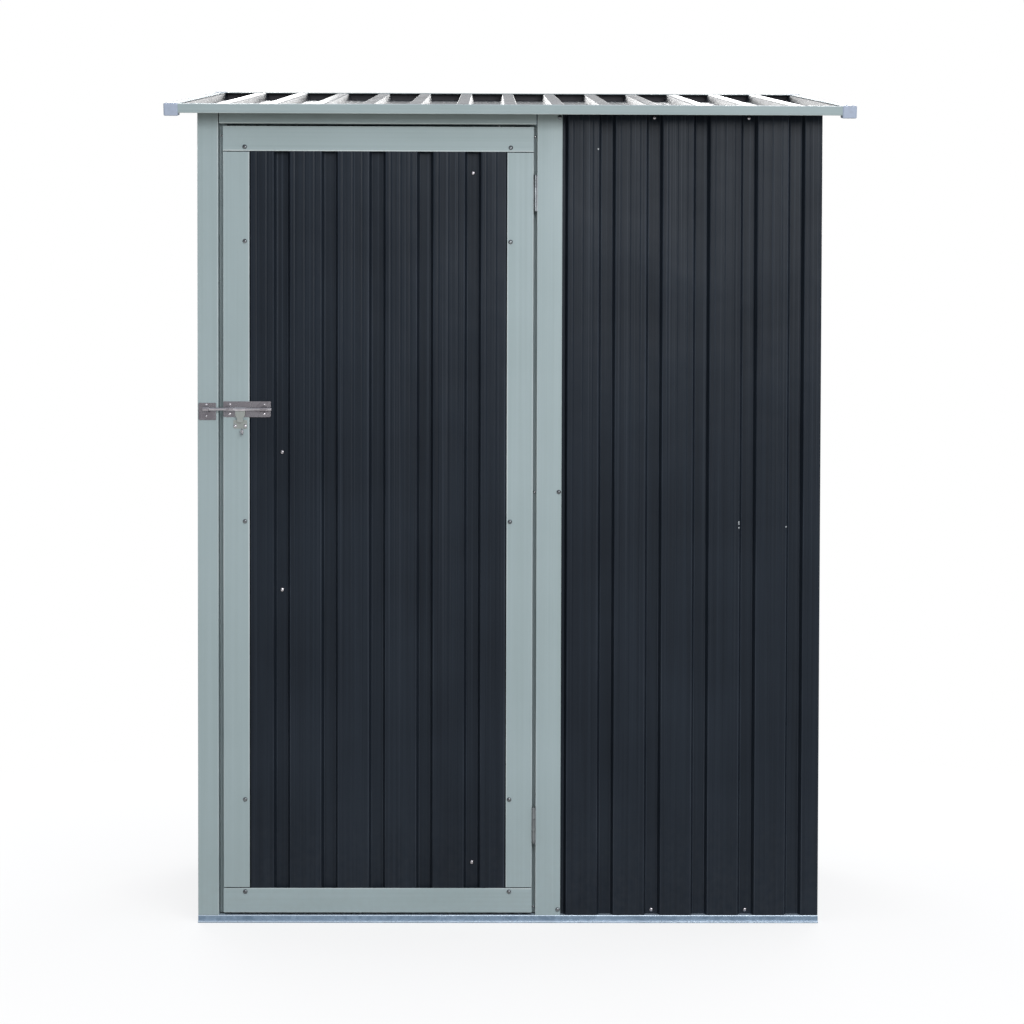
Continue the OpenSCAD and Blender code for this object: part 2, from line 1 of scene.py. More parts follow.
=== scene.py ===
"""Looks of a lean-to metal tool shed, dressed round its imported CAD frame.

Sizes are in millimetres until a mesh is made. X runs to the right along the front, Y from the front to
the back, and Z up from the ground, as in the part's own source.
"""

import json
import logging
import math
from contextlib import contextmanager
from dataclasses import dataclass, field, replace
from enum import Enum
from typing import Any, Callable, Iterator, Sequence

import bmesh
import bpy
from mathutils import Euler, Matrix, Vector

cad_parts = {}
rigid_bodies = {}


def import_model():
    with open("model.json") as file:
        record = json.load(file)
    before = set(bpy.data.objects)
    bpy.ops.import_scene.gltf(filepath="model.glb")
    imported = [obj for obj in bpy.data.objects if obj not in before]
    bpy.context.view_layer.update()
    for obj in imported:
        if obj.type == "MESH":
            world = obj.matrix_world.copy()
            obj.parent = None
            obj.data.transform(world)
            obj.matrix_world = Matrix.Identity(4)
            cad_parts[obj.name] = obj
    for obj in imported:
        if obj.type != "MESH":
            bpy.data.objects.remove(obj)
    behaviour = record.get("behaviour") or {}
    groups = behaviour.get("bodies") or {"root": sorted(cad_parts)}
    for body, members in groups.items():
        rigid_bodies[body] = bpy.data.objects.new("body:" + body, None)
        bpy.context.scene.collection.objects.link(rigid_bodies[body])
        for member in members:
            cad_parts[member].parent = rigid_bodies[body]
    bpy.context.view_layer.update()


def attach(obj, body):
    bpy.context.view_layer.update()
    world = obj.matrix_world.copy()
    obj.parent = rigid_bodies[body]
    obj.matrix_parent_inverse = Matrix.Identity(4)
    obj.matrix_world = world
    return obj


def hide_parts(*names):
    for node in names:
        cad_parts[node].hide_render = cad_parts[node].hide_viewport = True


LOG = logging.getLogger("tool_shed")
MM = 0.001
X_AXIS, Y_AXIS, Z_AXIS = Vector((1, 0, 0)), Vector((0, 1, 0)), Vector((0, 0, 1))
SMOOTH_ANGLE = math.radians(32)
CORNER_SEGMENTS, EDGE_SEGMENTS, END_SEGMENTS, TUBE_SIDES = 5, 2, 4, 32
PARALLEL, FACING, TOUCHING_MM = 0.999, 0.9, 0.01
COLOUR_MIX: dict[str, Any] = {"out": 2, "data_type": "RGBA"}
MIX_A, MIX_B = 6, 7  # places of a colour mix's two colours among its inputs

Piece = bpy.types.Object
Tree, Socket = bpy.types.NodeTree, bpy.types.NodeSocket
Point = Sequence[float]
Path = Sequence[tuple[float, float]]
Plane = tuple[Vector, Vector]
Spot = tuple[float, float, float]
Outline = tuple[float, float, float, float]


class Body(Enum):
    """Moving bodies of the shed, by the names that the frame gives them."""

    SHED = "shed"
    DOOR = "door"
    BOLT = "bolt"
    TAB = "tab"


class Metal(Enum):
    """Side of a folded path that the metal lies on, seen along the path."""

    LEFT = 1
    RIGHT = -1


class Part(Enum):
    """Parts of a mesh that are picked in edit mode."""

    EDGE = "EDGE"
    FACE = "FACE"


class Run(Enum):
    """Axis that the lines of a rolled sheet run along, by its place among X, Y and Z."""

    ACROSS = 0
    BACK = 1
    UP = 2


class Wall(Enum):
    """The four walls, by the direction that each one faces."""

    FRONT = (0, -1)
    BACK = (0, 1)
    LEFT = (-1, 0)
    RIGHT = (1, 0)

    @property
    def inward(self) -> Vector:
        """Direction from the wall's face into the shed."""
        return Vector((-self.value[0], -self.value[1], 0))

    @property
    def along(self) -> Vector:
        """Direction along the wall, to the right as seen from outside."""
        return self.inward.cross(Z_AXIS)

    @property
    def half(self) -> float:
        """Half the length of the wall."""
        return SHED.half_w if self.value[0] == 0 else SHED.half_d

    @property
    def origin(self) -> Vector:
        """Middle of the wall's face, on the ground."""
        return Vector((self.value[0] * SHED.half_w, self.value[1] * SHED.half_d, 0))

    def standing(self) -> Matrix:
        """Bench for an upright sheet: along the wall, inwards, and up."""
        return bench(self.origin, self.along, self.inward)

    def lying(self) -> Matrix:
        """Bench for a rail: inwards, up, and along the wall."""
        return bench(self.origin, self.inward, Z_AXIS)


@dataclass(frozen=True)
class ShedSizes:
    """Sizes that several sub-assemblies share, as in the part's source."""

    half_w: float = 653.0
    half_d: float = 382.5
    roof_rise: float = 141.0
    roof_over: float = 62.0
    front_h: float = 1699.5
    header_z: float = 1675.5
    front_flat: float = 104.1
    wall_pitch: float = 99.1
    door_x1: float = 49.0
    jamb_x: float = 56.5
    stop_n: float = 29.0
    sheet_t: float = 1.0
    trim_t: float = 1.0
    rail_h: float = 16.0
    rib_h: float = 16.0
    corner_return: float = 25.0
    fit: float = 0.2
    trim_top: float = 18.0
    cap_t: float = 2.0
    cap_hi: float = 19.0
    cap_lo: float = -7.0

    @property
    def face_y(self) -> float:
        """Place of the front's face."""
        return -self.half_d

    @property
    def slope(self) -> float:
        """Fall of the roof, in radians."""
        return math.atan(self.roof_rise / (2 * self.half_d))

    @property
    def back_n(self) -> float:
        """Depth of the back of the narrow flats behind the wall's face."""
        return self.trim_t + self.rib_h + self.sheet_t

    @property
    def roof_origin(self) -> Vector:
        """Origin of the roof's own frame, at the underside of its sheets."""
        y0 = (self.cap_hi + self.cap_lo) / 2 * math.sin(self.slope)
        return Vector((0, y0, self.front_h + (self.half_d + y0) * math.tan(self.slope)))

    @property
    def roof_up(self) -> Vector:
        """Direction up along the roof's fall."""
        return Vector((0, math.cos(self.slope), math.sin(self.slope)))

    @property
    def roof_out(self) -> Vector:
        """Direction straight out of the roof."""
        return Vector((0, -math.sin(self.slope), math.cos(self.slope)))

    @property
    def roof_plane(self) -> Plane:
        """Plane just under the roof's sheets, facing up."""
        return self.roof_origin - self.roof_out * (2 * self.fit), self.roof_out

    @property
    def trim_x(self) -> float:
        """Outer face of the side trims, from the middle of the roof."""
        return self.half_w + self.roof_over - self.cap_t

    @property
    def trim_y(self) -> float:
        """Outer face of the front and back trims, along the roof from its middle."""
        length = 2 * (self.half_d + self.roof_over) - (self.cap_hi - self.cap_lo) * math.sin(self.slope)
        return length / math.cos(self.slope) / 2 - self.cap_t

    def roof_under(self, y: float) -> float:
        """Height of the underside of the roof's sheets at the place y."""
        return self.roof_origin.z + (y - self.roof_origin.y) * math.tan(self.slope)


SHED = ShedSizes()


@dataclass(frozen=True)
class RibProfile:
    """Section of the ribbed sheet: wide pans with three grooves, and narrow flats a rib's depth away."""

    depth: float = SHED.rib_h
    flat: float = 24.5
    side: float = 5.0
    groove_h: float = 0.5
    groove_w: float = 5.0
    groove_pitch: float = 20.4
    groove_shift: float = -2.0
    margin: float = 1.0

    def path(self, u0: float, u1: float, flat_u: float, pitch: float, n: float) -> list[tuple[float, float]]:
        """Lays out the section between two edges.

        Args:
            u0: First edge of the sheet.
            u1: Last edge of the sheet.
            flat_u: Middle of one narrow flat.
            pitch: Spacing of the ribs.
            n: Depth at which the wide pans lie.

        Returns:
            Points of the section from u0 to u1.
        """
        low, high = u0 + self.margin, u1 - self.margin
        half, groove = self.flat / 2, self.groove_w / 2
        rib = [(-half - self.side, 0), (-half, self.depth), (half, self.depth), (half + self.side, 0)]
        points = [(u0, n)]
        first = math.floor((u0 - flat_u) / pitch) - 1
        for k in range(first, math.ceil((u1 - flat_u) / pitch) + 1):
            u = flat_u + k * pitch
            points += [(u + du, n + dn) for du, dn in rib if low < u + du < high]
            for j in (-1, 0, 1):
                m = u + pitch / 2 + self.groove_shift + j * self.groove_pitch
                if low < m - groove and m + groove < high:
                    points += [(m - groove, n), (m, n + self.groove_h), (m + groove, n)]
        return points + [(u1, n)]


RIBS = RibProfile()


# Hand tools


def linear(code: str) -> tuple[float, float, float, float]:
    """Turns an sRGB hex value into the linear colour that a shader takes."""
    parts = [int(code[i : i + 2], 16) / 255 for i in (1, 3, 5)]
    return (*((c / 12.92 if c <= 0.04045 else ((c + 0.055) / 1.055) ** 2.4) for c in parts), 1.0)


WHITE = linear("#ffffff")


def per_metre(size_mm: float) -> float:
    """Scale that gives a pattern features of the given size."""
    return 1 / (size_mm * MM)


def plug(tree: Tree, node: bpy.types.Node, inputs: dict[Any, Any] | Sequence[Any]) -> None:
    """Links or sets the inputs of a node.

    Args:
        tree: Node tree that holds the node.
        node: Node that takes them.
        inputs: Value or linked output for each input, by name or place, or in the order of the inputs.
    """
    for key, value in inputs.items() if isinstance(inputs, dict) else enumerate(inputs):
        if isinstance(value, Socket):
            tree.links.new(value, node.inputs[key])
        else:
            node.inputs[key].default_value = value


def add(
    tree: Tree, kind: str, inputs: dict[Any, Any] | Sequence[Any] = (), out: str | int = 0, **settings: Any
) -> Socket:
    """Adds a node with its settings and links.

    Args:
        tree: Node tree that takes the node.
        kind: Blender's name for the node, less the words that all of them start with.
        inputs: Value or linked output for each input, as plug takes them.
        out: Output to go on with, by name or place.
        settings: Properties of the node.

    Returns:
        The chosen output of the new node.
    """
    node = tree.nodes.new("ShaderNode" + kind)
    for key, value in settings.items():
        setattr(node, key, value)
    plug(tree, node, inputs)
    return node.outputs[out]


def bench(origin: Vector, first: Vector, second: Vector) -> Matrix:
    """Sets up the bench on which a piece is made.

    Args:
        origin: Its origin in the frame.
        first: Its first axis.
        second: Its second axis.

    Returns:
        Matrix from the bench to the frame, with the third axis square to the others.
    """
    matrix = Matrix((first, second, first.cross(second))).transposed().to_4x4()
    matrix.translation = origin * MM
    return matrix


def select_only(*pieces: Piece) -> None:
    """Selects some pieces and nothing else, the first one active.

    Args:
        pieces: Pieces to select, or none.
    """
    for other in bpy.context.view_layer.objects:
        other.select_set(False)
    for piece in pieces:
        piece.select_set(True)
    bpy.context.view_layer.objects.active = pieces[0] if pieces else None


@contextmanager
def editing(piece: Piece) -> Iterator[None]:
    """Opens a piece in edit mode and closes it again.

    Args:
        piece: Piece to shape.
    """
    select_only(piece)
    bpy.ops.object.mode_set(mode="EDIT")
    yield
    bpy.ops.object.mode_set(mode="OBJECT")


@contextmanager
def open_mesh() -> Iterator[bmesh.types.BMesh]:
    """Gives the mesh that is in edit mode, and brings it up to date afterwards."""
    mesh = bpy.context.edit_object.data
    parts = bmesh.from_edit_mesh(mesh)
    yield parts
    bmesh.update_edit_mesh(mesh)


def face_layer(parts: bmesh.types.BMesh, name: str) -> Any:
    """Layer of a mesh that marks its faces, made where it is missing."""
    layers = parts.faces.layers.float
    return layers.get(name) or layers.new(name)


def pick(kind: Part, test: Callable[[Any], bool]) -> None:
    """Selects, in edit mode, the edges or faces that pass a test.

    Args:
        kind: Kind of part.
        test: Test of one part.
    """
    bpy.ops.mesh.select_mode(type=kind.value)
    bpy.ops.mesh.select_all(action="DESELECT")
    with open_mesh() as parts:
        for part in parts.edges if kind is Part.EDGE else parts.faces:
            if test(part):
                part.select_set(True)


def runs_along(edge: bmesh.types.BMEdge, axis: Vector) -> bool:
    """Whether an edge runs along an axis."""
    run = edge.verts[1].co - edge.verts[0].co
    return run.length > 0 and abs(run.normalized().dot(axis)) > PARALLEL


def is_sharp(edge: bmesh.types.BMEdge) -> bool:
    """Whether the two faces at an edge meet at a clear angle."""
    return edge.calc_face_angle(0.0) > SMOOTH_ANGLE


def bevel(width: float, segments: int) -> None:
    """Rounds the edges that are picked."""
    bpy.ops.mesh.bevel(offset=width * MM, segments=segments, affect="EDGES")


def soften(width: float) -> None:
    """Softens every sharp edge of the piece in edit mode."""
    pick(Part.EDGE, is_sharp)
    bevel(width, EDGE_SEGMENTS)


def extrude(x: float, y: float, z: float) -> None:
    """Extrudes what is picked by a step."""
    bpy.ops.mesh.extrude_region_move(TRANSFORM_OT_translate={"value": (x * MM, y * MM, z * MM)})


def set_in_place() -> None:
    """Sets the place of the selected piece into its mesh."""
    bpy.ops.object.transform_apply(location=True, rotation=True, scale=True)


def started(name: str) -> Piece:
    """Names the primitive that was just added and sets its place into its mesh.

    Args:
        name: Name of the piece.

    Returns:
        The piece.
    """
    piece = bpy.context.active_object
    piece.name = piece.data.name = name
    set_in_place()
    return piece


def apply_modifier(piece: Piece, kind: str, **settings: Any) -> None:
    """Adds a modifier and applies it.

    Args:
        piece: Piece that takes it.
        kind: Blender's name for the modifier.
        settings: Properties of the modifier.
    """
    select_only(piece)
    modifier = piece.modifiers.new(kind.lower(), kind)
    for key, value in settings.items():
        setattr(modifier, key, value)
    bpy.ops.object.modifier_apply(modifier=modifier.name)


def bore(piece: Piece, cutter: Piece) -> None:
    """Cuts one piece out of another and removes the cutter."""
    apply_modifier(piece, "BOOLEAN", operation="DIFFERENCE", object=cutter, solver="EXACT")
    bpy.data.objects.remove(cutter)


def joined(name: str, *pieces: Piece) -> Piece:
    """Joins pieces into one mesh.

    Args:
        name: Name of the joined piece.
        pieces: Pieces to join.

    Returns:
        The joined piece.
    """
    select_only(*pieces)
    if len(pieces) > 1:
        bpy.ops.object.join()
    piece = bpy.context.active_object
    piece.name = piece.data.name = name
    return piece


def duplicate(piece: Piece, place: Matrix) -> Piece:
    """Copies a piece, with a mesh of its own.

    Args:
        piece: Piece to copy.
        place: Place of the copy.

    Returns:
        The copy.
    """
    copy = piece.copy()
    copy.data = piece.data.copy()
    bpy.context.collection.objects.link(copy)
    copy.matrix_world = place @ piece.matrix_world
    return copy


def block(name: str, low: Point, high: Point, corner: float = 0, axis: Vector = Y_AXIS, edge: float = 0.2) -> Piece:
    """Makes a block with rounded corners along an axis and softened edges.

    Args:
        name: Name of the piece.
        low: Lowest corner.
        high: Highest corner.
        corner: Radius of the corners that run along the axis.
        axis: Axis of the rounded corners.
        edge: Width of the soft edges all round.

    Returns:
        The new piece.
    """
    low, high = Vector(low), Vector(high)
    select_only()
    bpy.ops.mesh.primitive_cube_add(size=MM, location=(low + high) / 2 * MM, scale=high - low)
    piece = started(name)
    with editing(piece):
        if corner:
            pick(Part.EDGE, lambda e: runs_along(e, axis))
            bevel(corner, CORNER_SEGMENTS)
        soften(edge)
    return piece


def cylinder(name: str, start: Point, end: Point, radius: float, sides: int) -> tuple[Piece, Vector]:
    """Starts a round piece between two points.

    Args:
        name: Name of the piece.
        start: Middle of one end.
        end: Middle of the other end.
        radius: Its radius.
        sides: Number of its sides.

    Returns:
        The plain cylinder and its direction.
    """
    start, end = Vector(start), Vector(end)
    run = end - start
    select_only()
    bpy.ops.mesh.primitive_cylinder_add(
        vertices=sides,
        radius=radius * MM,
        depth=run.length * MM,
        location=(start + end) / 2 * MM,
        rotation=run.to_track_quat("Z", "Y").to_euler(),
    )
    return started(name), run.normalized()


def bar(name: str, start: Point, end: Point, radius: float, soft: float, sides: int) -> Piece:
    """Makes a round bar between two points, with rounded ends.

    Args:
        name: Name of the piece.
        start: Middle of one end.
        end: Middle of the other end.
        radius: Radius of the bar.
        soft: Radius of its rounded ends.
        sides: Number of sides.

    Returns:
        The new piece.
    """
    piece, along = cylinder(name, start, end, radius, sides)
    with editing(piece):
        pick(Part.EDGE, lambda e: not runs_along(e, along))
        bevel(soft, END_SEGMENTS)
    return piece


def tube(name: str, start: Point, end: Point, radius: float, bore_r: float, soft: float = 0.2) -> Piece:
    """Makes a round tube between two points.

    Args:
        name: Name of the piece.
        start: Middle of one end.
        end: Middle of the other end.
        radius: Outer radius.
        bore_r: Inner radius.
        soft: Width of its soft edges.

    Returns:
        The new piece.
    """
    piece, along = cylinder(name, start, end, radius, TUBE_SIDES)
    with editing(piece):
        pick(Part.FACE, lambda f: abs(f.normal.dot(along)) > FACING)
        bpy.ops.mesh.inset(thickness=(radius - bore_r) * MM)
        bpy.ops.mesh.bridge_edge_loops()
        soften(soft)
    return piece


# Finishes


@dataclass(frozen=True)
class Finish:
    """What every finish has: the name of its material, the slot that it fills, and a way to wire its look."""

    name: str
    slot: str

    def material(self) -> bpy.types.Material:
        """Builds the material, or finds it if it is there already.

        Returns:
            The material.
        """
        made = bpy.data.materials.get(self.name)
        if not made:
            made = bpy.data.materials.new(self.name)
            made.use_nodes = True
            tree = made.node_tree
            look = self.look(tree, add(tree, "TexCoord", out="Object"))
            plug(tree, tree.nodes["Principled BSDF"], look)
        return made

    def look(self, tree: Tree, place: Socket) -> dict[str, Any]:
        """Gives the value or output for each input of the shader, from Object coordinates."""
        raise NotImplementedError


@dataclass(frozen=True)
class CoilPaint(Finish):
    """Polyester paint rolled onto steel strip and baked before folding.

    To the eye: an even satin colour with faint roller lines along the sheet, folds a little lighter from rubbing and
    from a painted highlight, thin lines of painted sheen that fade downwards, dust where it splashes up from the
    ground, a few bare chips, and a thin dark reverse-side coat on the faces that are marked for it, which also
    paints their shade.
    Pairs of sizes are across the sheet and along it.
    """

    dark: str
    light: str
    # Lighter colour of the marked folds and the sheen lines: rubbing, painted highlight and painted sheen.
    rub_highlight_and_sheen: str
    dust: str
    roughness: float
    dust_share: float
    waves: float
    specular: float
    # Share of the painted sheen: thin light lines that stand in for the sky's reflection on the sheet.
    painted_sheen_share: float
    # Share of the lighter colour on marked folds: partly rubbing, partly painted highlight.
    fold_rub_and_highlight: float
    chips: tuple[Spot, ...] = ()
    run: Run = Run.UP
    # Dark reverse-side coat, which also stands in for the shade inside the roof's channels.
    backing_and_shade: str = "#46454b"
    bare: str = "#b4babf"
    chip_mm: tuple[float, float] = (1.3, 2.0)
    mottle_mm: float = 220.0
    roller_mm: tuple[float, float] = (6.0, 700.0)
    # Sizes of the painted sheen lines, across the sheet and along it.
    painted_sheen_mm: tuple[float, float] = (3.4, 1600.0)
    speck_mm: float = 14.0
    peel_mm: float = 2.5
    ripple: float = 0.05
    peel: float = 0.001
    tone_range: tuple[float, float] = (0.75, 1.25)
    # Noise range of the fold marks, which are rubbing and painted highlight.
    fold_rub_and_highlight_range: tuple[float, float] = (0.7, 1.3)
    painted_sheen_range: tuple[float, float] = (0.56, 0.74)
    speck_range: tuple[float, float] = (0.35, 0.7)
    # Heights over which the painted sheen fades downwards.
    painted_sheen_fade: tuple[float, float, float, float] = (0.4, 1.6, 0.2, 1.0)
    splash: tuple[float, float] = (0.02, 0.3)
    gloss_spread: tuple[float, float] = (0.05, -0.05)
    dust_rough: float = 0.3

    def look(self, tree: Tree, place: Socket) -> dict[str, Any]:
        """Wires the paint.

        Args:
            tree: Node tree of the material.
            place: Object coordinates.

        Returns:
            Value or output for each input of the shader.
        """
        mottle = add(tree, "TexNoise", {"Vector": place, "Scale": per_metre(self.mottle_mm), "Detail": 3.0})
        drawn = self._drawn(tree, place, self.roller_mm)
        streak = add(tree, "TexNoise", {"Vector": drawn, "Scale": 1.0, "Detail": 3.0})
        peel = add(tree, "TexNoise", {"Vector": place, "Scale": per_metre(self.peel_mm), "Detail": 1.0})
        height = add(tree, "SeparateXYZ", [place], "Z")
        both = add(tree, "Math", [mottle, streak], operation="ADD")
        tone = add(tree, "MapRange", [both, *self.tone_range])
        gloss = add(tree, "MapRange", [tone, 0, 1, *(self.roughness + d for d in self.gloss_spread)])
        soil = self._soil(tree, place, height)
        body = add(tree, "Mix", {0: tone, MIX_A: linear(self.dark), MIX_B: linear(self.light)}, **COLOUR_MIX)
        rub = self._rub_and_sheen_marks(tree, place, height, both)
        # Folds and sheen lines turn lighter: rubbing, plus painted highlight and painted sheen.
        rub_highlight_and_sheen = add(tree, "Mix", {0: rub, MIX_A: body, MIX_B: linear(self.rub_highlight_and_sheen)}, **COLOUR_MIX)
        dusty = add(tree, "Mix", {0: soil, MIX_A: rub_highlight_and_sheen, MIX_B: linear(self.dust)}, **COLOUR_MIX)
        chipped = self._chip(tree, place, dusty)
        # Dark reverse-side coat on the marked faces, which also paints the shade inside the roof's channels.
        reverse = add(tree, "Attribute", out="Fac", attribute_name="backing_and_shade")
        bump = {"Strength": 1.0, "Height": mottle, "Distance": self.waves * MM}
        for relief, share in ((streak, self.ripple), (peel, self.peel)):
            under = add(tree, "Bump", bump)
            bump = {"Strength": 1.0, "Height": relief, "Distance": share * self.waves * MM, "Normal": under}
        return {
            "Base Color": add(tree, "Mix", {0: reverse, MIX_A: chipped, MIX_B: linear(self.backing_and_shade)}, **COLOUR_MIX),
            "Roughness": add(tree, "Math", [soil, self.dust_rough, gloss], operation="MULTIPLY_ADD"),
            "Specular IOR Level": self.specular,
            "Normal": add(tree, "Bump", bump),
        }

    def _drawn(self, tree: Tree, place: Socket, sizes: tuple[float, float]) -> Socket:
        """Coordinates drawn out along the sheet, so that a pattern makes lines."""
        scale = [per_metre(sizes[axis == self.run.value]) for axis in range(3)]
        return add(tree, "Mapping", {"Vector": place, "Scale": scale})

    def _rub_and_sheen_marks(self, tree: Tree, place: Socket, height: Socket, both: Socket) -> Socket:
        """Wires the lighter marks: folds lightened by rubbing and painted highlight, and thin lines of painted sheen
        fading downwards.

        Args:
            tree: Node tree of the material.
            place: Object coordinates.
            height: Height above the ground.
            both: Sum of the paint's two patterns.

        Returns:
            Share of the lighter colour, for rubbing, painted highlight and painted sheen.
        """
        # Fold marks: rubbing and painted highlight on sharp bends, painted highlight on shallow folds and marked
        # spots.
        fold = add(tree, "Attribute", out="Fac", attribute_name="fold")
        rub_and_highlight_spots = add(tree, "MapRange", [both, *self.fold_rub_and_highlight_range, 0, self.fold_rub_and_highlight])
        edge = add(tree, "Math", [fold, rub_and_highlight_spots], operation="MULTIPLY")
        # Painted sheen: thin light lines for the sky's reflection, strongest high up and fading downwards.
        drawn = self._drawn(tree, place, self.painted_sheen_mm)
        trace = add(tree, "TexNoise", {"Vector": drawn, "Scale": 1.0, "Detail": 2.0})
        thin = add(tree, "MapRange", [trace, *self.painted_sheen_range, 0, self.painted_sheen_share])
        painted_sheen_fade = add(tree, "MapRange", [height, *self.painted_sheen_fade])
        marks = add(tree, "Math", [thin, painted_sheen_fade], operation="MULTIPLY")
        return add(tree, "Math", [edge, marks], operation="MAXIMUM")

    def _soil(self, tree: Tree, place: Socket, height: Socket) -> Socket:
        """Wires the patches of dust near the ground.

        Args:
            tree: Node tree of the material.
            place: Object coordinates.
            height: Height above the ground.

        Returns:
            Share of the dust's colour.
        """
        speck = add(tree, "TexNoise", {"Vector": place, "Scale": per_metre(self.speck_mm), "Detail": 5.0})
        low = add(tree, "MapRange", [height, *self.splash, self.dust_share, 0])
        patch = add(tree, "MapRange", [speck, *self.speck_range])
        return add(tree, "Math", [low, patch], operation="MULTIPLY")

    def _chip(self, tree: Tree, place: Socket, colour: Socket) -> Socket:
        """Wires the bare chips.

        Args:
            tree: Node tree of the material.
            place: Object coordinates.
            colour: Colour of the paint round them.

        Returns:
            Colour with the chips in it.
        """
        near, far = (size * MM for size in self.chip_mm)
        for chip in self.chips:
            away = add(tree, "VectorMath", [place, Vector(chip) * MM], "Value", operation="DISTANCE")
            bare = add(tree, "MapRange", [away, near, far, 1, 0])
            colour = add(tree, "Mix", {0: bare, MIX_A: colour, MIX_B: linear(self.bare)}, **COLOUR_MIX)
        return colour


@dataclass(frozen=True)
class CoatedSteel(Finish):
    """Bare steel under a metal coat, hot-dip galvanised or zinc plated.

    To the eye: a grey metal sheen, broken into spangles on galvanised sheet and into fine rub marks on plating,
    with dull patches where it has weathered and a painted highlight on marked bends and spots.
    """

    dark: str
    light: str
    roughness: float
    bump_mm: float
    spangle_mm: float = 22.0
    metallic: float = 1.0
    # Colour of the painted highlight on marked bends and spots, and its share.
    bends: str = "#d3e1ee"
    bend_highlight_share: float = 0.85
    dull_mm: float = 60.0
    grain_mm: float = 1.5
    cell_share: float = 0.5
    tone_range: tuple[float, float] = (0.4, 1.1)
    gloss_spread: tuple[float, float] = (0.1, -0.06)

    def look(self, tree: Tree, place: Socket) -> dict[str, Any]:
        """Wires the metal.

        Args:
            tree: Node tree of the material.
            place: Object coordinates.

        Returns:
            Value or output for each input of the shader.
        """
        spangle = add(tree, "TexVoronoi", {"Vector": place, "Scale": per_metre(self.spangle_mm)}, "Color")
        cell = add(tree, "SeparateColor", [spangle])
        dull = add(tree, "TexNoise", {"Vector": place, "Scale": per_metre(self.dull_mm), "Detail": 4.0})
        both = add(tree, "Math", [cell, self.cell_share, dull], operation="MULTIPLY_ADD")
        tone = add(tree, "MapRange", [both, *self.tone_range])
        metal = add(tree, "Mix", {0: tone, MIX_A: linear(self.dark), MIX_B: linear(self.light)}, **COLOUR_MIX)
        # Painted highlight on the faces marked as folds.
        fold = add(tree, "Attribute", out="Fac", attribute_name="fold")
        bright = add(tree, "Math", [fold, self.bend_highlight_share], operation="MULTIPLY")
        grain = add(tree, "TexNoise", {"Vector": place, "Scale": per_metre(self.grain_mm), "Detail": 3.0})
        return {
            "Base Color": add(tree, "Mix", {0: bright, MIX_A: metal, MIX_B: linear(self.bends)}, **COLOUR_MIX),
            "Metallic": self.metallic,
            "Roughness": add(tree, "MapRange", [tone, 0, 1, *(self.roughness + d for d in self.gloss_spread)]),
            "Normal": add(tree, "Bump", {"Height": grain, "Strength": 1.0, "Distance": self.bump_mm * MM}),
        }


@dataclass(frozen=True)
class MouldedPlastic(Finish):
    """Polypropylene moulded in one shot.

    To the eye: a milky pale colour, a fine moulded grain and a trace of grime.
    """

    colour: str
    grime: str
    roughness: float
    ior: float = 1.49
    cloud_mm: float = 12.0
    grain_mm: float = 0.8
    bump_mm: float = 0.02
    grime_range: tuple[float, float, float, float] = (0.5, 0.8, 0.0, 0.5)
    gloss_spread: tuple[float, float] = (-0.08, 0.12)

    def look(self, tree: Tree, place: Socket) -> dict[str, Any]:
        """Wires the plastic.

        Args:
            tree: Node tree of the material.
            place: Object coordinates.

        Returns:
            Value or output for each input of the shader.
        """
        cloud = add(tree, "TexNoise", {"Vector": place, "Scale": per_metre(self.cloud_mm), "Detail": 4.0})
        grain = add(tree, "TexNoise", {"Vector": place, "Scale": per_metre(self.grain_mm), "Detail": 1.0})
        share = add(tree, "MapRange", [cloud, *self.grime_range])
        return {
            "Base Color": add(
                tree, "Mix", {0: share, MIX_A: linear(self.colour), MIX_B: linear(self.grime)}, **COLOUR_MIX
            ),
            "Roughness": add(tree, "MapRange", [cloud, 0, 1, *(self.roughness + d for d in self.gloss_spread)]),
            "IOR": self.ior,
            "Normal": add(tree, "Bump", {"Height": grain, "Strength": 1.0, "Distance": self.bump_mm * MM}),
        }


@dataclass(frozen=True)
class BackdropPaper:
    """Matt paper of the studio's floor.

    To the eye: a pale floor that keeps the shadow near the shed and fades to pure white away from it.
    """

    name: str
    tint: str
    fade: tuple[float, float, float, float]

    def material(self) -> bpy.types.Material:
        """Builds the paper, which glows for the camera and in a gloss, but not under the shed.

        Returns:
            The material.
        """
        paper = bpy.data.materials.new(self.name)
        paper.use_nodes = True
        tree = paper.node_tree
        tree.nodes.remove(tree.nodes["Principled BSDF"])
        place = add(tree, "TexCoord", out="Object")
        away = add(tree, "VectorMath", [place], "Value", operation="LENGTH")
        fade = add(tree, "MapRange", [away, *self.fade])
        footprint = (per_metre(SHED.half_w), per_metre(SHED.half_d), 0)
        reach = add(tree, "VectorMath", [place, footprint], operation="MULTIPLY")
        sides = add(tree, "VectorMath", [reach], operation="ABSOLUTE")
        axes = add(tree, "SeparateXYZ", [sides]).node.outputs
        edge = add(tree, "Math", [axes["X"], axes["Y"]], operation="MAXIMUM")
        outside = add(tree, "Math", [edge, 1.0], operation="GREATER_THAN")
        seen = seen_white(tree)
        glow = add(tree, "Math", [seen, add(tree, "LightPath", out="Is Glossy Ray")], operation="MAXIMUM")
        shown = add(tree, "Math", [outside, glow], operation="MULTIPLY")
        share = add(tree, "Math", [fade, shown], operation="MULTIPLY")
        tint = add(tree, "Mix", {0: seen, MIX_A: linear(self.tint), MIX_B: WHITE}, **COLOUR_MIX)
        matt = add(tree, "BsdfDiffuse", [tint])
        white = add(tree, "Emission", [WHITE, 1.0])
        plug(tree, tree.nodes["Material Output"], {"Surface": add(tree, "MixShader", [share, matt, white])})
        return paper


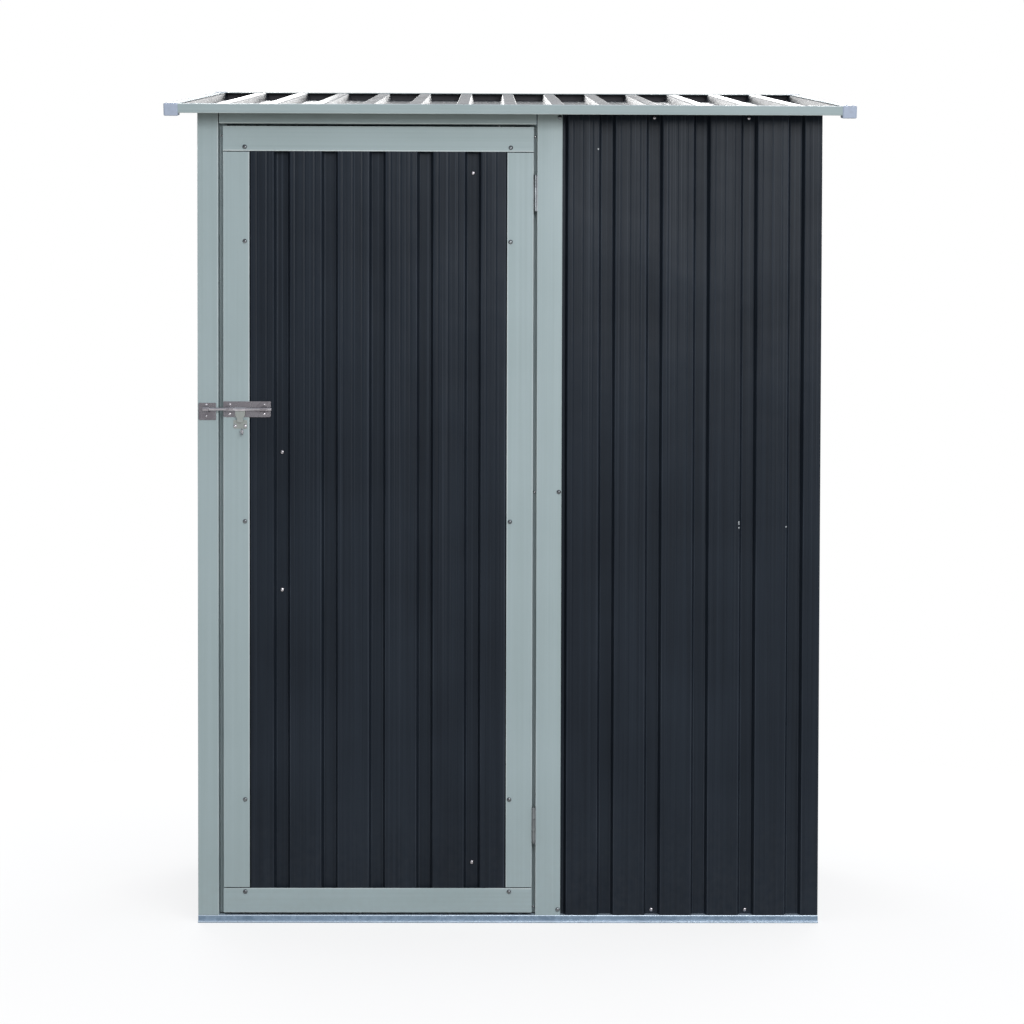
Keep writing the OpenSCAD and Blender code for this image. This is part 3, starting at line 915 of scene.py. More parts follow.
def seen_white(tree: Tree) -> Socket:
    """Whether a ray comes straight from the camera or through glass, and so sees white."""
    path = add(tree, "LightPath").node.outputs
    return add(tree, "Math", [path["Is Camera Ray"], path["Is Transmission Ray"]], operation="MAXIMUM")


WALL_PAINT = CoilPaint(
    "anthracite_coil_paint",
    "ribbed_sheet",
    dark="#1b2129",
    light="#232a33",
    rub_highlight_and_sheen="#4a525d",
    dust="#5c5c5c",
    roughness=0.33,
    dust_share=0.06,
    waves=4.0,
    specular=0.1,
    painted_sheen_share=0.36,
    fold_rub_and_highlight=0.4,
    chips=(
        (482.4, -381.5, 846.0),
        (482.5, -381.5, 842.0),
        (482.6, -381.5, 834.0),
        (581.6, -381.5, 836.3),
        (184.1, -381.5, 1625.1),
    ),
)
ROOF_PAINT = replace(
    WALL_PAINT,
    name="anthracite_coil_paint_roof",
    roughness=0.25,
    dust_share=0.0,
    waves=0.8,
    specular=0.4,
    painted_sheen_share=0.4,
    chips=(),
    run=Run.BACK,
)
PALE_PAINT = CoilPaint(
    "pale_grey_coil_paint",
    "pale_trim",
    dark="#98a8ab",
    light="#9eaeb2",
    rub_highlight_and_sheen="#c6d0d2",
    dust="#8d8d88",
    roughness=0.45,
    dust_share=0.1,
    waves=1.0,
    specular=0.3,
    painted_sheen_share=0.08,
    fold_rub_and_highlight=1.0,
)
PALE_PAINT_LEVEL = replace(PALE_PAINT, name="pale_grey_coil_paint_level", run=Run.ACROSS)
GALVANISED = CoatedSteel(
    "galvanised_sheet_steel", "galvanised_rail", "#6a7f94", "#889db2", 0.26, 0.004, spangle_mm=9.0, metallic=0.5
)
ZINC = CoatedSteel("zinc_plated_steel", "zinc_steel", "#79757a", "#aba7ab", 0.26, 0.004)
# Zinc darkened to paint the shade on the recessed hinges and on the screws of the pale frame.
SHADED_ZINC = CoatedSteel("zinc_plated_steel_painted_shade", "zinc_steel", "#54575a", "#7f8386", 0.18, 0.003)
# Lighter greenish zinc, whose tint paints the reflection of the pale frame.
SATIN_ZINC_PAINTED_REFLECTION = CoatedSteel("satin_zinc_plated_steel_painted_reflection", "zinc_steel", "#868c88", "#a6aba7", 0.34, 0.004, metallic=0.6)
BRIGHT_ZINC = CoatedSteel("bright_zinc_plated_steel", "zinc_steel", "#989599", "#cbc8cc", 0.12, 0.002)
CAP_PLASTIC = MouldedPlastic("moulded_polypropylene", "cap_plastic", "#a6b2c7", "#8d95a3", 0.42)
FLOOR_PAPER = BackdropPaper("matt_white_paper", "#b8b2a6", (0.7, 2.4, 0.75, 1.0))


def hand_over(piece: Piece, finish: Finish, body: Body, *nodes: str) -> None:
    """Shades a finished piece, gives it its finish and hands it to its body.

    Args:
        piece: Piece in its place.
        finish: Finish of the piece.
        body: Body that it moves with.
        nodes: CAD nodes that it stands for.
    """
    select_only(piece)
    set_in_place()
    bpy.ops.object.shade_smooth_by_angle(angle=SMOOTH_ANGLE)
    apply_modifier(piece, "WEIGHTED_NORMAL", keep_sharp=True)
    piece.data.materials.clear()
    piece.data.materials.append(finish.material())
    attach(piece, body.value)
    if nodes:
        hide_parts(*nodes)
    LOG.info("%s: %s on %s, %d faces", piece.name, finish.name, body.value, len(piece.data.polygons))


# Folding


@dataclass
class FoldedSheet:
    """Sheet metal folded along a path.

    The path lies on one face of the sheet, in the first two axes of a bench, and the folds run along the third.
    Cuts are made before the sheet has its thickness, and mitres after it. Spots of painted highlight are places in
    the section with a reach, whose faces are marked like the bends; marked faces take a lighter colour, which is
    painted highlight, and on sharp bends partly rubbing.
    """

    name: str
    path: Path
    span: tuple[float, float]
    place: Matrix
    metal: Metal = Metal.LEFT
    bend: float = 1.6
    soft_bend: float = 0.8
    thickness: float = SHED.trim_t
    segments: int = 3
    cuts: Sequence[Plane] = ()
    mitres: Sequence[Plane] = ()
    # Marks for a lighter colour: spots of painted highlight, sharp bends with rubbing and painted highlight, shallow
    # folds with painted highlight.
    rub_and_highlight_spots: Sequence[Spot] = ()
    bend_rub_and_highlight: float = 1.0
    soft_fold_highlight: float = 0.06
    flattest: float = 0.02

    def fit(self, finish: Finish, body: Body, node: str) -> None:
        """Builds the sheet and hands it over in the place of a CAD node."""
        hand_over(self.build(), finish, body, node)

    def build(self) -> Piece:
        """Folds the sheet strip by strip, rounds its bends and gives it its thickness.

        Returns:
            The folded sheet, in its place in the frame.
        """
        piece = self._first_strip()
        with editing(piece):
            self._fold()
            self._round_bends()
            self._cut(self.cuts, fill=False)
            self._face_outwards()
        apply_modifier(piece, "SOLIDIFY", thickness=self.thickness * MM, offset=-1, use_even_offset=True)
        with editing(piece):
            self._cut(self.mitres, fill=True)
        piece.matrix_world = self.place
        select_only(piece)
        set_in_place()
        return piece

    def _first_strip(self) -> Piece:
        """Adds the flat strip between the first two points of the path.

        Returns:
            The strip.
        """
        a, b = (Vector((*p, 0)) for p in self.path[:2])
        middle, run = (a + b) / 2 + Z_AXIS * sum(self.span) / 2, b - a
        turn = (math.pi / 2, 0, math.atan2(run.y, run.x))
        select_only()
        bpy.ops.mesh.primitive_plane_add(size=MM, location=middle * MM, rotation=turn)
        bpy.context.active_object.scale = (run.length, self.span[1] - self.span[0], 1)
        return started(self.name)

    def _fold(self) -> None:
        """Extrudes the free edge of the strip along the rest of the path."""
        edge, near = Vector(self.path[1]) * MM, TOUCHING_MM * MM
        pick(Part.EDGE, lambda e: runs_along(e, Z_AXIS) and (e.verts[0].co.xy - edge).length < near)
        for (x0, y0), (x1, y1) in zip(self.path[1:], self.path[2:]):
            extrude(x1 - x0, y1 - y0, 0)

    def _is_bend(self, edge: bmesh.types.BMEdge, sharp: bool) -> bool:
        """Tells whether an edge is a fold that is still to be rounded.

        Args:
            edge: Edge of the folded strips.
            sharp: Whether sharp folds are sought, or shallow ones.

        Returns:
            Whether it is one of them.
        """
        if not runs_along(edge, Z_AXIS) or len(edge.link_faces) != 2 or is_sharp(edge) != sharp:
            return False
        if sharp:
            return True
        layer = face_layer(bmesh.from_edit_mesh(bpy.context.edit_object.data), "fold")
        return edge.calc_face_angle(0) > self.flattest and not any(face[layer] for face in edge.link_faces)

    def _round_bends(self) -> None:
        """Rounds the folds, the shallow ones less than the sharp ones, and marks the rounded faces and spots for
        painted highlight and rubbing.
        """
        for sharp, width, fold_rub_and_highlight in ((True, self.bend, self.bend_rub_and_highlight), (False, self.soft_bend, self.soft_fold_highlight)):
            pick(Part.EDGE, lambda e: self._is_bend(e, sharp))
            bevel(width, self.segments)
            with open_mesh() as parts:
                layer = face_layer(parts, "fold")
                for face in parts.faces:
                    if face.select:
                        face[layer] = fold_rub_and_highlight
                    middle = face.calc_center_median().xy / MM
                    # Spots of painted highlight take the full mark.
                    if any((middle - Vector((x, y))).length < reach for x, y, reach in self.rub_and_highlight_spots):
                        face[layer] = 1.0

    def _cut(self, planes: Sequence[Plane], fill: bool) -> None:
        """Cuts away what lies beyond each plane of the frame.

        Args:
            planes: Point and outward direction of each plane.
            fill: Whether the cut ends are closed.
        """
        back = self.place.inverted()
        for point, normal in planes:
            bpy.ops.mesh.select_all(action="SELECT")
            bpy.ops.mesh.bisect(
                plane_co=back @ (point * MM), plane_no=back.to_3x3() @ normal, clear_outer=True, use_fill=fill
            )

    def _face_outwards(self) -> None:
        """Turns the faces so that the metal lies behind them."""
        start = Vector(self.path[0])
        run = Vector(self.path[1]) - start
        outward = Vector((run.y, -run.x, 0)) * self.metal.value
        with open_mesh() as parts:
            first = min(parts.faces, key=lambda f: (f.calc_center_median().xy - start * MM).length)
            wrong = first.normal.dot(outward) < 0
        if wrong:
            bpy.ops.mesh.select_all(action="SELECT")
            bpy.ops.mesh.flip_normals()


# Sub-assemblies


@dataclass
class BaseFrame:
    """Four folded rails on the ground, mitred at the corners, with a hemmed lip and an upstand behind the sheets."""

    foot: float = 25.0
    lip: float = 5.0
    hem: float = 3.2
    hem_rise: float = 1.4
    hem_bend: float = 1.05
    soft_bend: float = 0.1
    bend_rub_and_highlight: float = 0.15
    bow: float = 1.9
    bow_turns: Sequence[int] = range(0, 91, 18)
    # Spots of painted highlight on the bow, the hem and the ledge.
    bow_highlight: tuple[float, float] = (0.3, 0.9)
    hem_highlight: tuple[float, float] = (1.5, 1.2)
    ledge_highlight: float = 6.0
    upstand: float = 30.0
    upstand_bend: float = 0.8
    turned: tuple[float, float] = (0.6, 2.0)

    def build(self) -> None:
        """Folds the four rails and hands them over."""
        for wall in Wall:
            node = f"base_rail_{wall.name.lower()}"
            rail, stand = self._rail(node, wall), self._upstand(f"{node}_upstand", wall)
            hand_over(joined(node + "_folded", rail, stand), GALVANISED, Body.SHED, node)

    def _mitres(self, wall: Wall) -> list[Plane]:
        """Finds the planes that end a rail.

        Args:
            wall: Wall over the rail.

        Returns:
            Planes of its two mitred corners, and of the ends of its lip.
        """
        planes = []
        for side in (-1, 1):
            corner, out = wall.origin + wall.along * wall.half * side, wall.along * side
            planes += [(corner, (out + wall.inward).normalized()), (corner, out)]
        return planes

    def _painted_highlights(self) -> list[Spot]:
        """Finds the places of the section that take a painted highlight.

        Returns:
            Spots on the bow, the slope of the hem, its edge and the ledge.
        """
        high, (deep, reach) = SHED.rail_h, (share * self.bow for share in self.bow_highlight)
        slope, edge = self.hem_highlight
        return [
            (deep, high - deep, reach),
            (-self.lip / 2, self.hem + self.hem_rise / 2, slope),
            (-self.lip, self.hem, edge),
            ((self.bow + SHED.back_n) / 2, high, self.ledge_highlight),
        ]

    def _rail(self, name: str, wall: Wall) -> Piece:
        """Folds the foot, face and ledge of one rail, with a hemmed lip along the front and the back.

        Args:
            name: Name of the piece.
            wall: Wall over the rail.

        Returns:
            The rail.
        """
        hem = [(-self.lip, 0), (-self.lip, self.hem), (0, self.hem + self.hem_rise)] if wall.value[1] else [(0, 0)]
        turns = [math.radians(a) for a in self.bow_turns]
        bow = [(self.bow * (1 - math.cos(a)), SHED.rail_h - self.bow * (1 - math.sin(a))) for a in turns]
        reach = wall.half + SHED.trim_t
        return FoldedSheet(
            name,
            [(self.foot, 0), *hem, *bow, (SHED.back_n + SHED.trim_t, SHED.rail_h)],
            (-reach, reach),
            wall.lying(),
            Metal.RIGHT,
            self.hem_bend,
            self.soft_bend,
            mitres=self._mitres(wall),
            # Painted highlight lines along the bow, the hem and the ledge, the ledge's lying in shade.
            rub_and_highlight_spots=self._painted_highlights(),
            bend_rub_and_highlight=self.bend_rub_and_highlight,
        ).build()

    def _upstand(self, name: str, wall: Wall) -> Piece:
        """Folds the upstand of one rail behind the wall's sheets, with its top edge turned in a little.

        Args:
            name: Name of the piece.
            wall: Wall in front of it.

        Returns:
            The upstand.
        """
        start = SHED.front_flat if wall is Wall.FRONT else -wall.half
        n, top, (inward, down) = SHED.back_n, SHED.rail_h + self.upstand, self.turned
        path = [(n, SHED.rail_h - SHED.trim_t / 2), (n, top - down), (n + inward, top)]
        span, mitres = (start, wall.half), self._mitres(wall)
        return FoldedSheet(name, path, span, wall.lying(), Metal.RIGHT, self.upstand_bend, mitres=mitres).build()


@dataclass
class Walls:
    """Ribbed sheets of the four walls, cut to the roof's fall."""

    front_start: float = 58.7
    back_seam: float = 20.25
    seam_gap: float = 0.4

    def build(self) -> None:
        """Folds the five sheets and hands them over."""
        wide, side = SHED.half_w, SHED.half_d - SHED.trim_t - SHED.sheet_t - SHED.fit
        half = SHED.wall_pitch / 2
        for wall, node, u0, u1, flat_u, returns in (
            (Wall.FRONT, "front_wall_panel", self.front_start, wide, SHED.front_flat, (False, True)),
            (Wall.LEFT, "left_wall_panel", -side, side, half, (False, False)),
            (Wall.RIGHT, "right_wall_panel", -side, side, half, (False, False)),
            (Wall.BACK, "back_wall_panel_left", self.back_seam + self.seam_gap, wide, 0, (False, True)),
            (Wall.BACK, "back_wall_panel_right", -wide, self.back_seam, 0, (True, False)),
        ):
            path = RIBS.path(u0, u1, flat_u, SHED.wall_pitch, SHED.trim_t)
            self._sheet(wall, node, path, returns)

    def _sheet(self, wall: Wall, node: str, path: list[tuple[float, float]], returns: tuple[bool, bool]) -> None:
        """Folds one ribbed sheet and hands it over.

        Args:
            wall: Wall that it stands in.
            node: CAD node that it stands for.
            path: Section of the sheet.
            returns: Whether it turns round the corner at its first and its last edge.
        """
        deep = SHED.trim_t + SHED.corner_return
        first, last = [(path[0][0], deep)] * returns[0], [(path[-1][0], deep)] * returns[1]
        span = (SHED.rail_h, SHED.front_h + SHED.roof_rise)
        sheet = FoldedSheet(node + "_ribbed", first + path + last, span, wall.standing(), cuts=[SHED.roof_plane])
        sheet.fit(WALL_PAINT, Body.SHED, node)


@dataclass
class Doorway:
    """Pale folded frame of the doorway: the corner post with its door stop, the jamb with its crease, the header."""

    post_w: float = 43.5
    jamb_x1: float = 109.0
    crease: float = 17.0
    crease_fold: float = 1.5
    stop_w: float = 15.0
    joint: float = 1.9
    header_room: float = 0.5

    def build(self) -> None:
        """Folds the three members and hands them over."""
        stop, jamb_x = SHED.stop_n, SHED.jamb_x
        x0, x1 = -SHED.half_w, -SHED.half_w + self.post_w
        post = [(x0, stop), (x0, 0), (x1, 0), (x1, stop), (x1 + self.stop_w, stop)]
        jamb = [(jamb_x - self.stop_w, stop), (jamb_x, stop), (jamb_x, 0)]
        jamb += [(self.jamb_x1 - self.crease, 0), (self.jamb_x1, self.crease_fold)]
        high = (SHED.rail_h, SHED.front_h + SHED.trim_t)
        for node, path in (("latch_post", post), ("door_jamb", jamb)):
            sheet = FoldedSheet(node + "_folded", path, high, Wall.FRONT.standing(), cuts=[SHED.roof_plane])
            sheet.fit(PALE_PAINT, Body.SHED, node)
        z, top = SHED.header_z, SHED.front_h - self.header_room
        path = [(SHED.back_n - SHED.trim_t, z), (0, z), (0, top)]
        span = (x1 + self.joint, jamb_x - self.joint)
        header = FoldedSheet("door_header_folded", path, span, Wall.FRONT.lying(), Metal.RIGHT)
        header.fit(PALE_PAINT_LEVEL, Body.SHED, "door_header")


@dataclass
class RoofRails:
    """Galvanised angles under the roof, along the tops of the four walls."""

    leg: float = 25.0
    upright: float = 28.0

    def build(self) -> None:
        """Folds the four angles and hands them over."""
        half = SHED.half_w - SHED.back_n - SHED.fit
        lying = bench(Vector(), Y_AXIS, Z_AXIS)
        y_front, y_back = -SHED.half_d + SHED.back_n, SHED.half_d - SHED.back_n
        for node, y, leg, low, metal in (
            ("top_rail_front", y_front, self.leg, SHED.header_z, Metal.RIGHT),
            ("top_rail_back", y_back, -self.leg, self._top(y_back) - self.upright, Metal.LEFT),
        ):
            path = [(y, low), (y, self._top(y)), (y + leg, self._top(y + leg))]
            FoldedSheet(node + "_folded", path, (-half, half), lying, metal).fit(GALVANISED, Body.SHED, node)
        self._side_rail("top_rail_left", X_AXIS, -1)
        self._side_rail("top_rail_right", -X_AXIS, 1)

    def _top(self, y: float) -> float:
        """Height of the top of a rail at the place y."""
        return SHED.roof_under(y) - SHED.fit

    def _side_rail(self, node: str, inward: Vector, side: int) -> None:
        """Folds the angle along one side wall, between the front and the back ones, and hands it over.

        Args:
            node: CAD node that it stands for.
            inward: Direction into the shed.
            side: -1 at the left, 1 at the right.
        """
        reach = SHED.half_d - SHED.back_n - self.leg - SHED.fit
        y0, slope = SHED.roof_origin.y, SHED.slope
        low = (-reach - y0) / math.cos(slope) + self.upright * math.tan(slope)
        high = (reach - y0) / math.cos(slope)
        place = bench(SHED.roof_origin + X_AXIS * side * (SHED.half_w - SHED.back_n), inward, SHED.roof_out)
        span = (low, high) if side > 0 else (-high, -low)
        path = [(0, -self.upright), (0, -SHED.fit), (self.leg, -SHED.fit)]
        FoldedSheet(node + "_folded", path, span, place, Metal.RIGHT).fit(GALVANISED, Body.SHED, node)


@dataclass
class Roof:
    """Ribbed roof sheets, the pale channel round their edges and the moulded corner caps."""

    pitch: float = 100.0
    seam: float = -20.25
    seam_gap: float = 0.4
    edge_room: float = 5.0
    lip: float = 26.0
    trim_bend: float = 1.2
    backing_and_shade_turn: float = 0.3
    cap_l: float = 30.0
    cap_edge: float = 2.4
    cap_corner: float = 3.84

    def build(self) -> None:
        """Makes the sheets, the trims and the caps and hands them over."""
        half = SHED.trim_x - self.edge_room
        self._sheet("roof_panel_left", -half, self.seam - self.seam_gap)
        self._sheet("roof_panel_right", self.seam, half)
        along, side = SHED.roof_up, SHED.trim_y - self.lip
        self._trim("roof_trim_front", along, SHED.trim_y, SHED.trim_x)
        self._trim("roof_trim_back", -along, SHED.trim_y, SHED.trim_x)
        self._trim("roof_trim_left", X_AXIS, SHED.trim_x, side)
        self._trim("roof_trim_right", -X_AXIS, SHED.trim_x, side)
        for depth, sy in (("front", -1), ("back", 1)):
            for hand, sx in (("left", -1), ("right", 1)):
                self._cap(f"roof_cap_{depth}_{hand}", sx, sy)

    def _sheet(self, node: str, u0: float, u1: float) -> None:
        """Folds one ribbed roof sheet, its ribs upwards, and hands it over.

        Args:
            node: CAD node that it stands for.
            u0: Its left edge.
            u1: Its right edge.
        """
        half = SHED.trim_y - self.edge_room
        place = bench(SHED.roof_origin, X_AXIS, SHED.roof_out)
        path = RIBS.path(u0, u1, 0, self.pitch, 0)
        FoldedSheet(node + "_ribbed", path, (-half, half), place).fit(ROOF_PAINT, Body.SHED, node)

    def _trim(self, node: str, inward: Vector, reach: float, length: float) -> None:
        """Folds the channel along one edge of the roof, marks its inner web for a dark coat that also paints its
        shade, and hands it over.

        Args:
            node: CAD node that it stands for.
            inward: Direction from the edge to the middle of the roof.
            reach: Distance of the edge from the middle.
            length: Half the length of the channel.
        """
        low, high, outer = -SHED.trim_t, SHED.trim_top, SHED.roof_origin - inward * reach
        path = [(self.lip, high), (0, high), (0, low), (self.lip, low)]
        place = bench(outer, inward, SHED.roof_out)
        trim = FoldedSheet(node + "_folded", path, (-length, length), place, bend=self.trim_bend).build()
        # The inner web takes the dark reverse-side coat, which paints its shade.
        with editing(trim), open_mesh() as parts:
            layer = face_layer(parts, "backing_and_shade")
            for face in parts.faces:
                deep = (face.calc_center_median() / MM - outer).dot(inward)
                face[layer] = float(face.normal.dot(inward) > self.backing_and_shade_turn and deep < self.lip / 2)
        hand_over(trim, PALE_PAINT_LEVEL, Body.SHED, node)

    def _cap(self, node: str, sx: int, sy: int) -> None:
        """Moulds one corner cap, a rounded block hollowed for the two trims that meet in it, and hands it over.

        Args:
            node: CAD node that it stands for.
            sx: -1 at the left, 1 at the right.
            sy: -1 at the front, 1 at the back.
        """
        half, wall = self.cap_l / 2, SHED.cap_t
        x, y = sx * (SHED.trim_x - half), sy * (SHED.trim_y - half)
        centre, reach = Vector((x + sx * wall, y + sy * wall, 0)), Vector((half, half, 0))
        low, high = centre - reach + Z_AXIS * SHED.cap_lo, centre + reach + Z_AXIS * SHED.cap_hi
        cap = block(node + "_moulded", low, high, self.cap_corner, Z_AXIS, self.cap_edge)
        bore(cap, block("hollow", (x - half, y - half, -SHED.trim_t), (x + half, y + half, SHED.trim_top)))
        cap.matrix_world = bench(SHED.roof_origin, X_AXIS, SHED.roof_up)
        hand_over(cap, CAP_PLASTIC, Body.SHED, node)


@dataclass
class Door:
    """Ribbed door panel in a frame of folded channels, with two braces behind it."""

    x0: float = -599.5
    x1: float = SHED.door_x1
    z0: float = 21.0
    z1: float = 1670.5
    depth: float = 24.0
    joint: float = 1.9
    rolled: float = 2.2
    rolled_in: float = 0.7
    stile_w: float = 55.0
    rail_h: float = 52.0
    lip: float = 18.0
    pitch: float = 99.8
    flat_x: float = -476.9
    tuck: tuple[tuple[float, float], ...] = ((-0.6, 0.0), (1.0, 8.0), (2.4, 0.0))
    tuck_room: float = 3.2
    brace_w: float = 26.0
    brace_corner: float = 5.85
    brace_edge: float = 0.25
    brace_past: float = 15.0
    brace_end: float = 100.0
    brace_gap: float = 289.5
    brace_bays: int = 4

    def build(self) -> None:
        """Makes the panel, the frame and the braces and hands them over."""
        t = SHED.trim_t
        path = RIBS.path(self.x0 + t, self.x1 - t, self.flat_x, self.pitch, t)
        path = self._tucked(path, self.x0 + self.stile_w, 1)
        path = self._tucked(path, self.x1 - self.stile_w, -1)
        panel = FoldedSheet("door_panel_ribbed", path, (self.z0 + t, self.z1 - t), Wall.FRONT.standing())
        panel.fit(WALL_PAINT, Body.DOOR, "door_panel")
        self._stile("door_stile_latch", self.x0, 1)
        self._stile("door_stile_hinge", self.x1, -1)
        self._rail("door_rail_top", self.z1, -1)
        self._rail("door_rail_bottom", self.z0, 1)
        middle, half = (self.z0 + self.z1) / 2, self.brace_gap / 2
        self._brace("door_brace_upper", middle + half, self.z1 - self.brace_end)
        self._brace("door_brace_lower", middle - half, self.z0 + self.brace_end)

    def _tucked(self, path: Path, edge: float, side: int) -> list[tuple[float, float]]:
        """Adds a narrow crease to the panel where it tucks behind a stile.

        Args:
            path: Section of the panel.
            edge: Inner edge of the stile.
            side: 1 at the left stile, -1 at the right one.

        Returns:
            The section with the crease.
        """
        crease = [(edge + side * du, SHED.trim_t + dn) for du, dn in self.tuck]
        return sorted([p for p in path if abs(p[0] - edge) > self.tuck_room] + crease)

    def _section(self, face: float) -> list[tuple[float, float]]:
        """Section of a frame member: its rolled edge, its face, its outer return and its back lip."""
        edge = [(face, self.rolled_in), (face - self.rolled, 0)]
        return [*edge, (0, 0), (0, self.depth), (self.lip, self.depth)]

    def _stile(self, node: str, x: float, side: int) -> None:
        """Folds one upright member between the rails and hands it over.

        Args:
            node: CAD node that it stands for.
            x: Its outer edge.
            side: 1 at the left, -1 at the right.
        """
        path = [(x + side * a, b) for a, b in self._section(self.stile_w)]
        span = (self.z0 + self.rail_h + self.joint, self.z1 - self.rail_h - self.joint)
        metal = Metal.RIGHT if side > 0 else Metal.LEFT
        # Painted highlight along the rolled inner edge of the face.
        rub_and_highlight_spots = [(*path[0], self.rolled)]
        stile = FoldedSheet(node + "_folded", path, span, Wall.FRONT.standing(), metal, rub_and_highlight_spots=rub_and_highlight_spots)
        stile.fit(PALE_PAINT, Body.DOOR, node)

    def _rail(self, node: str, z: float, side: int) -> None:
        """Folds one cross member over the full width of the door, closes its ends and hands it over.

        Args:
            node: CAD node that it stands for.
            z: Its outer edge.
            side: 1 at the bottom, -1 at the top.
        """
        path = [(b, z + side * a) for a, b in self._section(self.rail_h)]
        metal = Metal.LEFT if side > 0 else Metal.RIGHT
        # Painted highlight along the rolled inner edge of the face.
        rub_and_highlight_spots = [(*path[0], self.rolled)]
        rail = FoldedSheet(node, path, (self.x0, self.x1), Wall.FRONT.lying(), metal, rub_and_highlight_spots=rub_and_highlight_spots).build()
        t, front = SHED.trim_t, SHED.face_y
        low, high = sorted((z + side * t, z + side * self.rail_h))
        ends = [
            block(node + "_end", (x, front + t, low), (x + t, front + self.depth, high))
            for x in (self.x0, self.x1 - t)
        ]
        hand_over(joined(node + "_folded", rail, *ends), PALE_PAINT_LEVEL, Body.DOOR, node)

    def _brace(self, node: str, z0: float, z1: float) -> None:
        """Makes one flat bar behind the door's narrow flats, rounded at its ends, and hands it over.

        Args:
            node: CAD node that it stands for.
            z0: Height of its screw near the bolt.
            z1: Height of its screw near the hinges.
        """
        run = Vector((self.brace_bays * self.pitch, 0, z1 - z0))
        half, past, n = self.brace_w / 2, self.brace_past, SHED.back_n
        low, high = (-past, n, -half), (run.length + past, n + SHED.trim_t, half)
        brace = block(node + "_bar", low, high, self.brace_corner, Y_AXIS, self.brace_edge)
        turn = Matrix.Rotation(-math.atan2(run.z, run.x), 4, "Y")
        brace.matrix_world = Matrix.Translation(Vector((self.flat_x, SHED.face_y, z0)) * MM) @ turn
        hand_over(brace, GALVANISED, Body.DOOR, node)


@dataclass
class Hinges:
    """Two butt hinges, whose leaves lie on the door's edge and on the jamb's return."""

    x: float = 52.75
    y: float = -385.0
    heights: tuple[tuple[str, float], ...] = (("upper", 1532.5), ("lower", 206.0))
    length: float = 76.0
    knuckles: int = 3
    knuckle_r: float = 3.0
    pin_r: float = 1.5
    pin_in: float = 0.2
    pin_soft: float = 0.3
    pin_sides: int = 16
    slack: float = 0.05
    gap: float = 0.4
    leaf_t: float = 1.0
    leaf_d: float = 20.0
    leaf_corner: float = 3.0
    web_in: float = 0.1
    web_past: float = 0.6

    def build(self) -> None:
        """Makes both leaves of each hinge and hands them over."""
        knuckle, x, y = self.length / self.knuckles / 2, self.x, self.y
        for name, z in self.heights:
            low, high = z - self.length / 2, z + self.length / 2
            outer = [(low, z - knuckle - self.gap), (z + knuckle + self.gap, high)]
            jamb = self._leaf(SHED.jamb_x - self.leaf_t, outer, low, high)
            ends = (x, y, low + self.pin_in), (x, y, high - self.pin_in)
            jamb.append(bar("pin", *ends, self.pin_r, self.pin_soft, self.pin_sides))
            door = self._leaf(SHED.door_x1, [(z - knuckle, z + knuckle)], low, high)
            for leaf, side, body in ((jamb, "jamb", Body.SHED), (door, "door", Body.DOOR)):
                node = f"hinge_{name}_{side}_leaf"
                # The leaves take zinc darkened to paint their shade in the recess.
                hand_over(joined(node + "_rolled", *leaf), SHADED_ZINC, body, node)

    def _leaf(self, x: float, knuckles: list[tuple[float, float]], low: float, high: float) -> list[Piece]:
        """Makes one leaf, whose flat reaches the pin only beside its own knuckles.

        Args:
            x: Left face of its flat.
            knuckles: Lower and upper end of each knuckle.
            low: Foot of the flat.
            high: Head of the flat.

        Returns:
            The flat, the knuckles and their webs.
        """
        front, back = self.y + self.knuckle_r + self.gap, SHED.face_y + self.leaf_d
        right = x + self.leaf_t
        pieces = [block("leaf", (x, front, low), (right, back, high), self.leaf_corner, X_AXIS)]
        inner, outer = (x, self.x - self.pin_r) if x < self.x else (self.x + self.pin_r, right)
        for z0, z1 in knuckles:
            ends = (self.x, self.y, z0), (self.x, self.y, z1)
            pieces.append(tube("knuckle", *ends, self.knuckle_r, self.pin_r + self.slack))
            corner = (inner, self.y + self.gap, z0 + self.web_in)
            pieces.append(block("web", corner, (outer, front + self.web_past, z1 - self.web_in)))
        return pieces


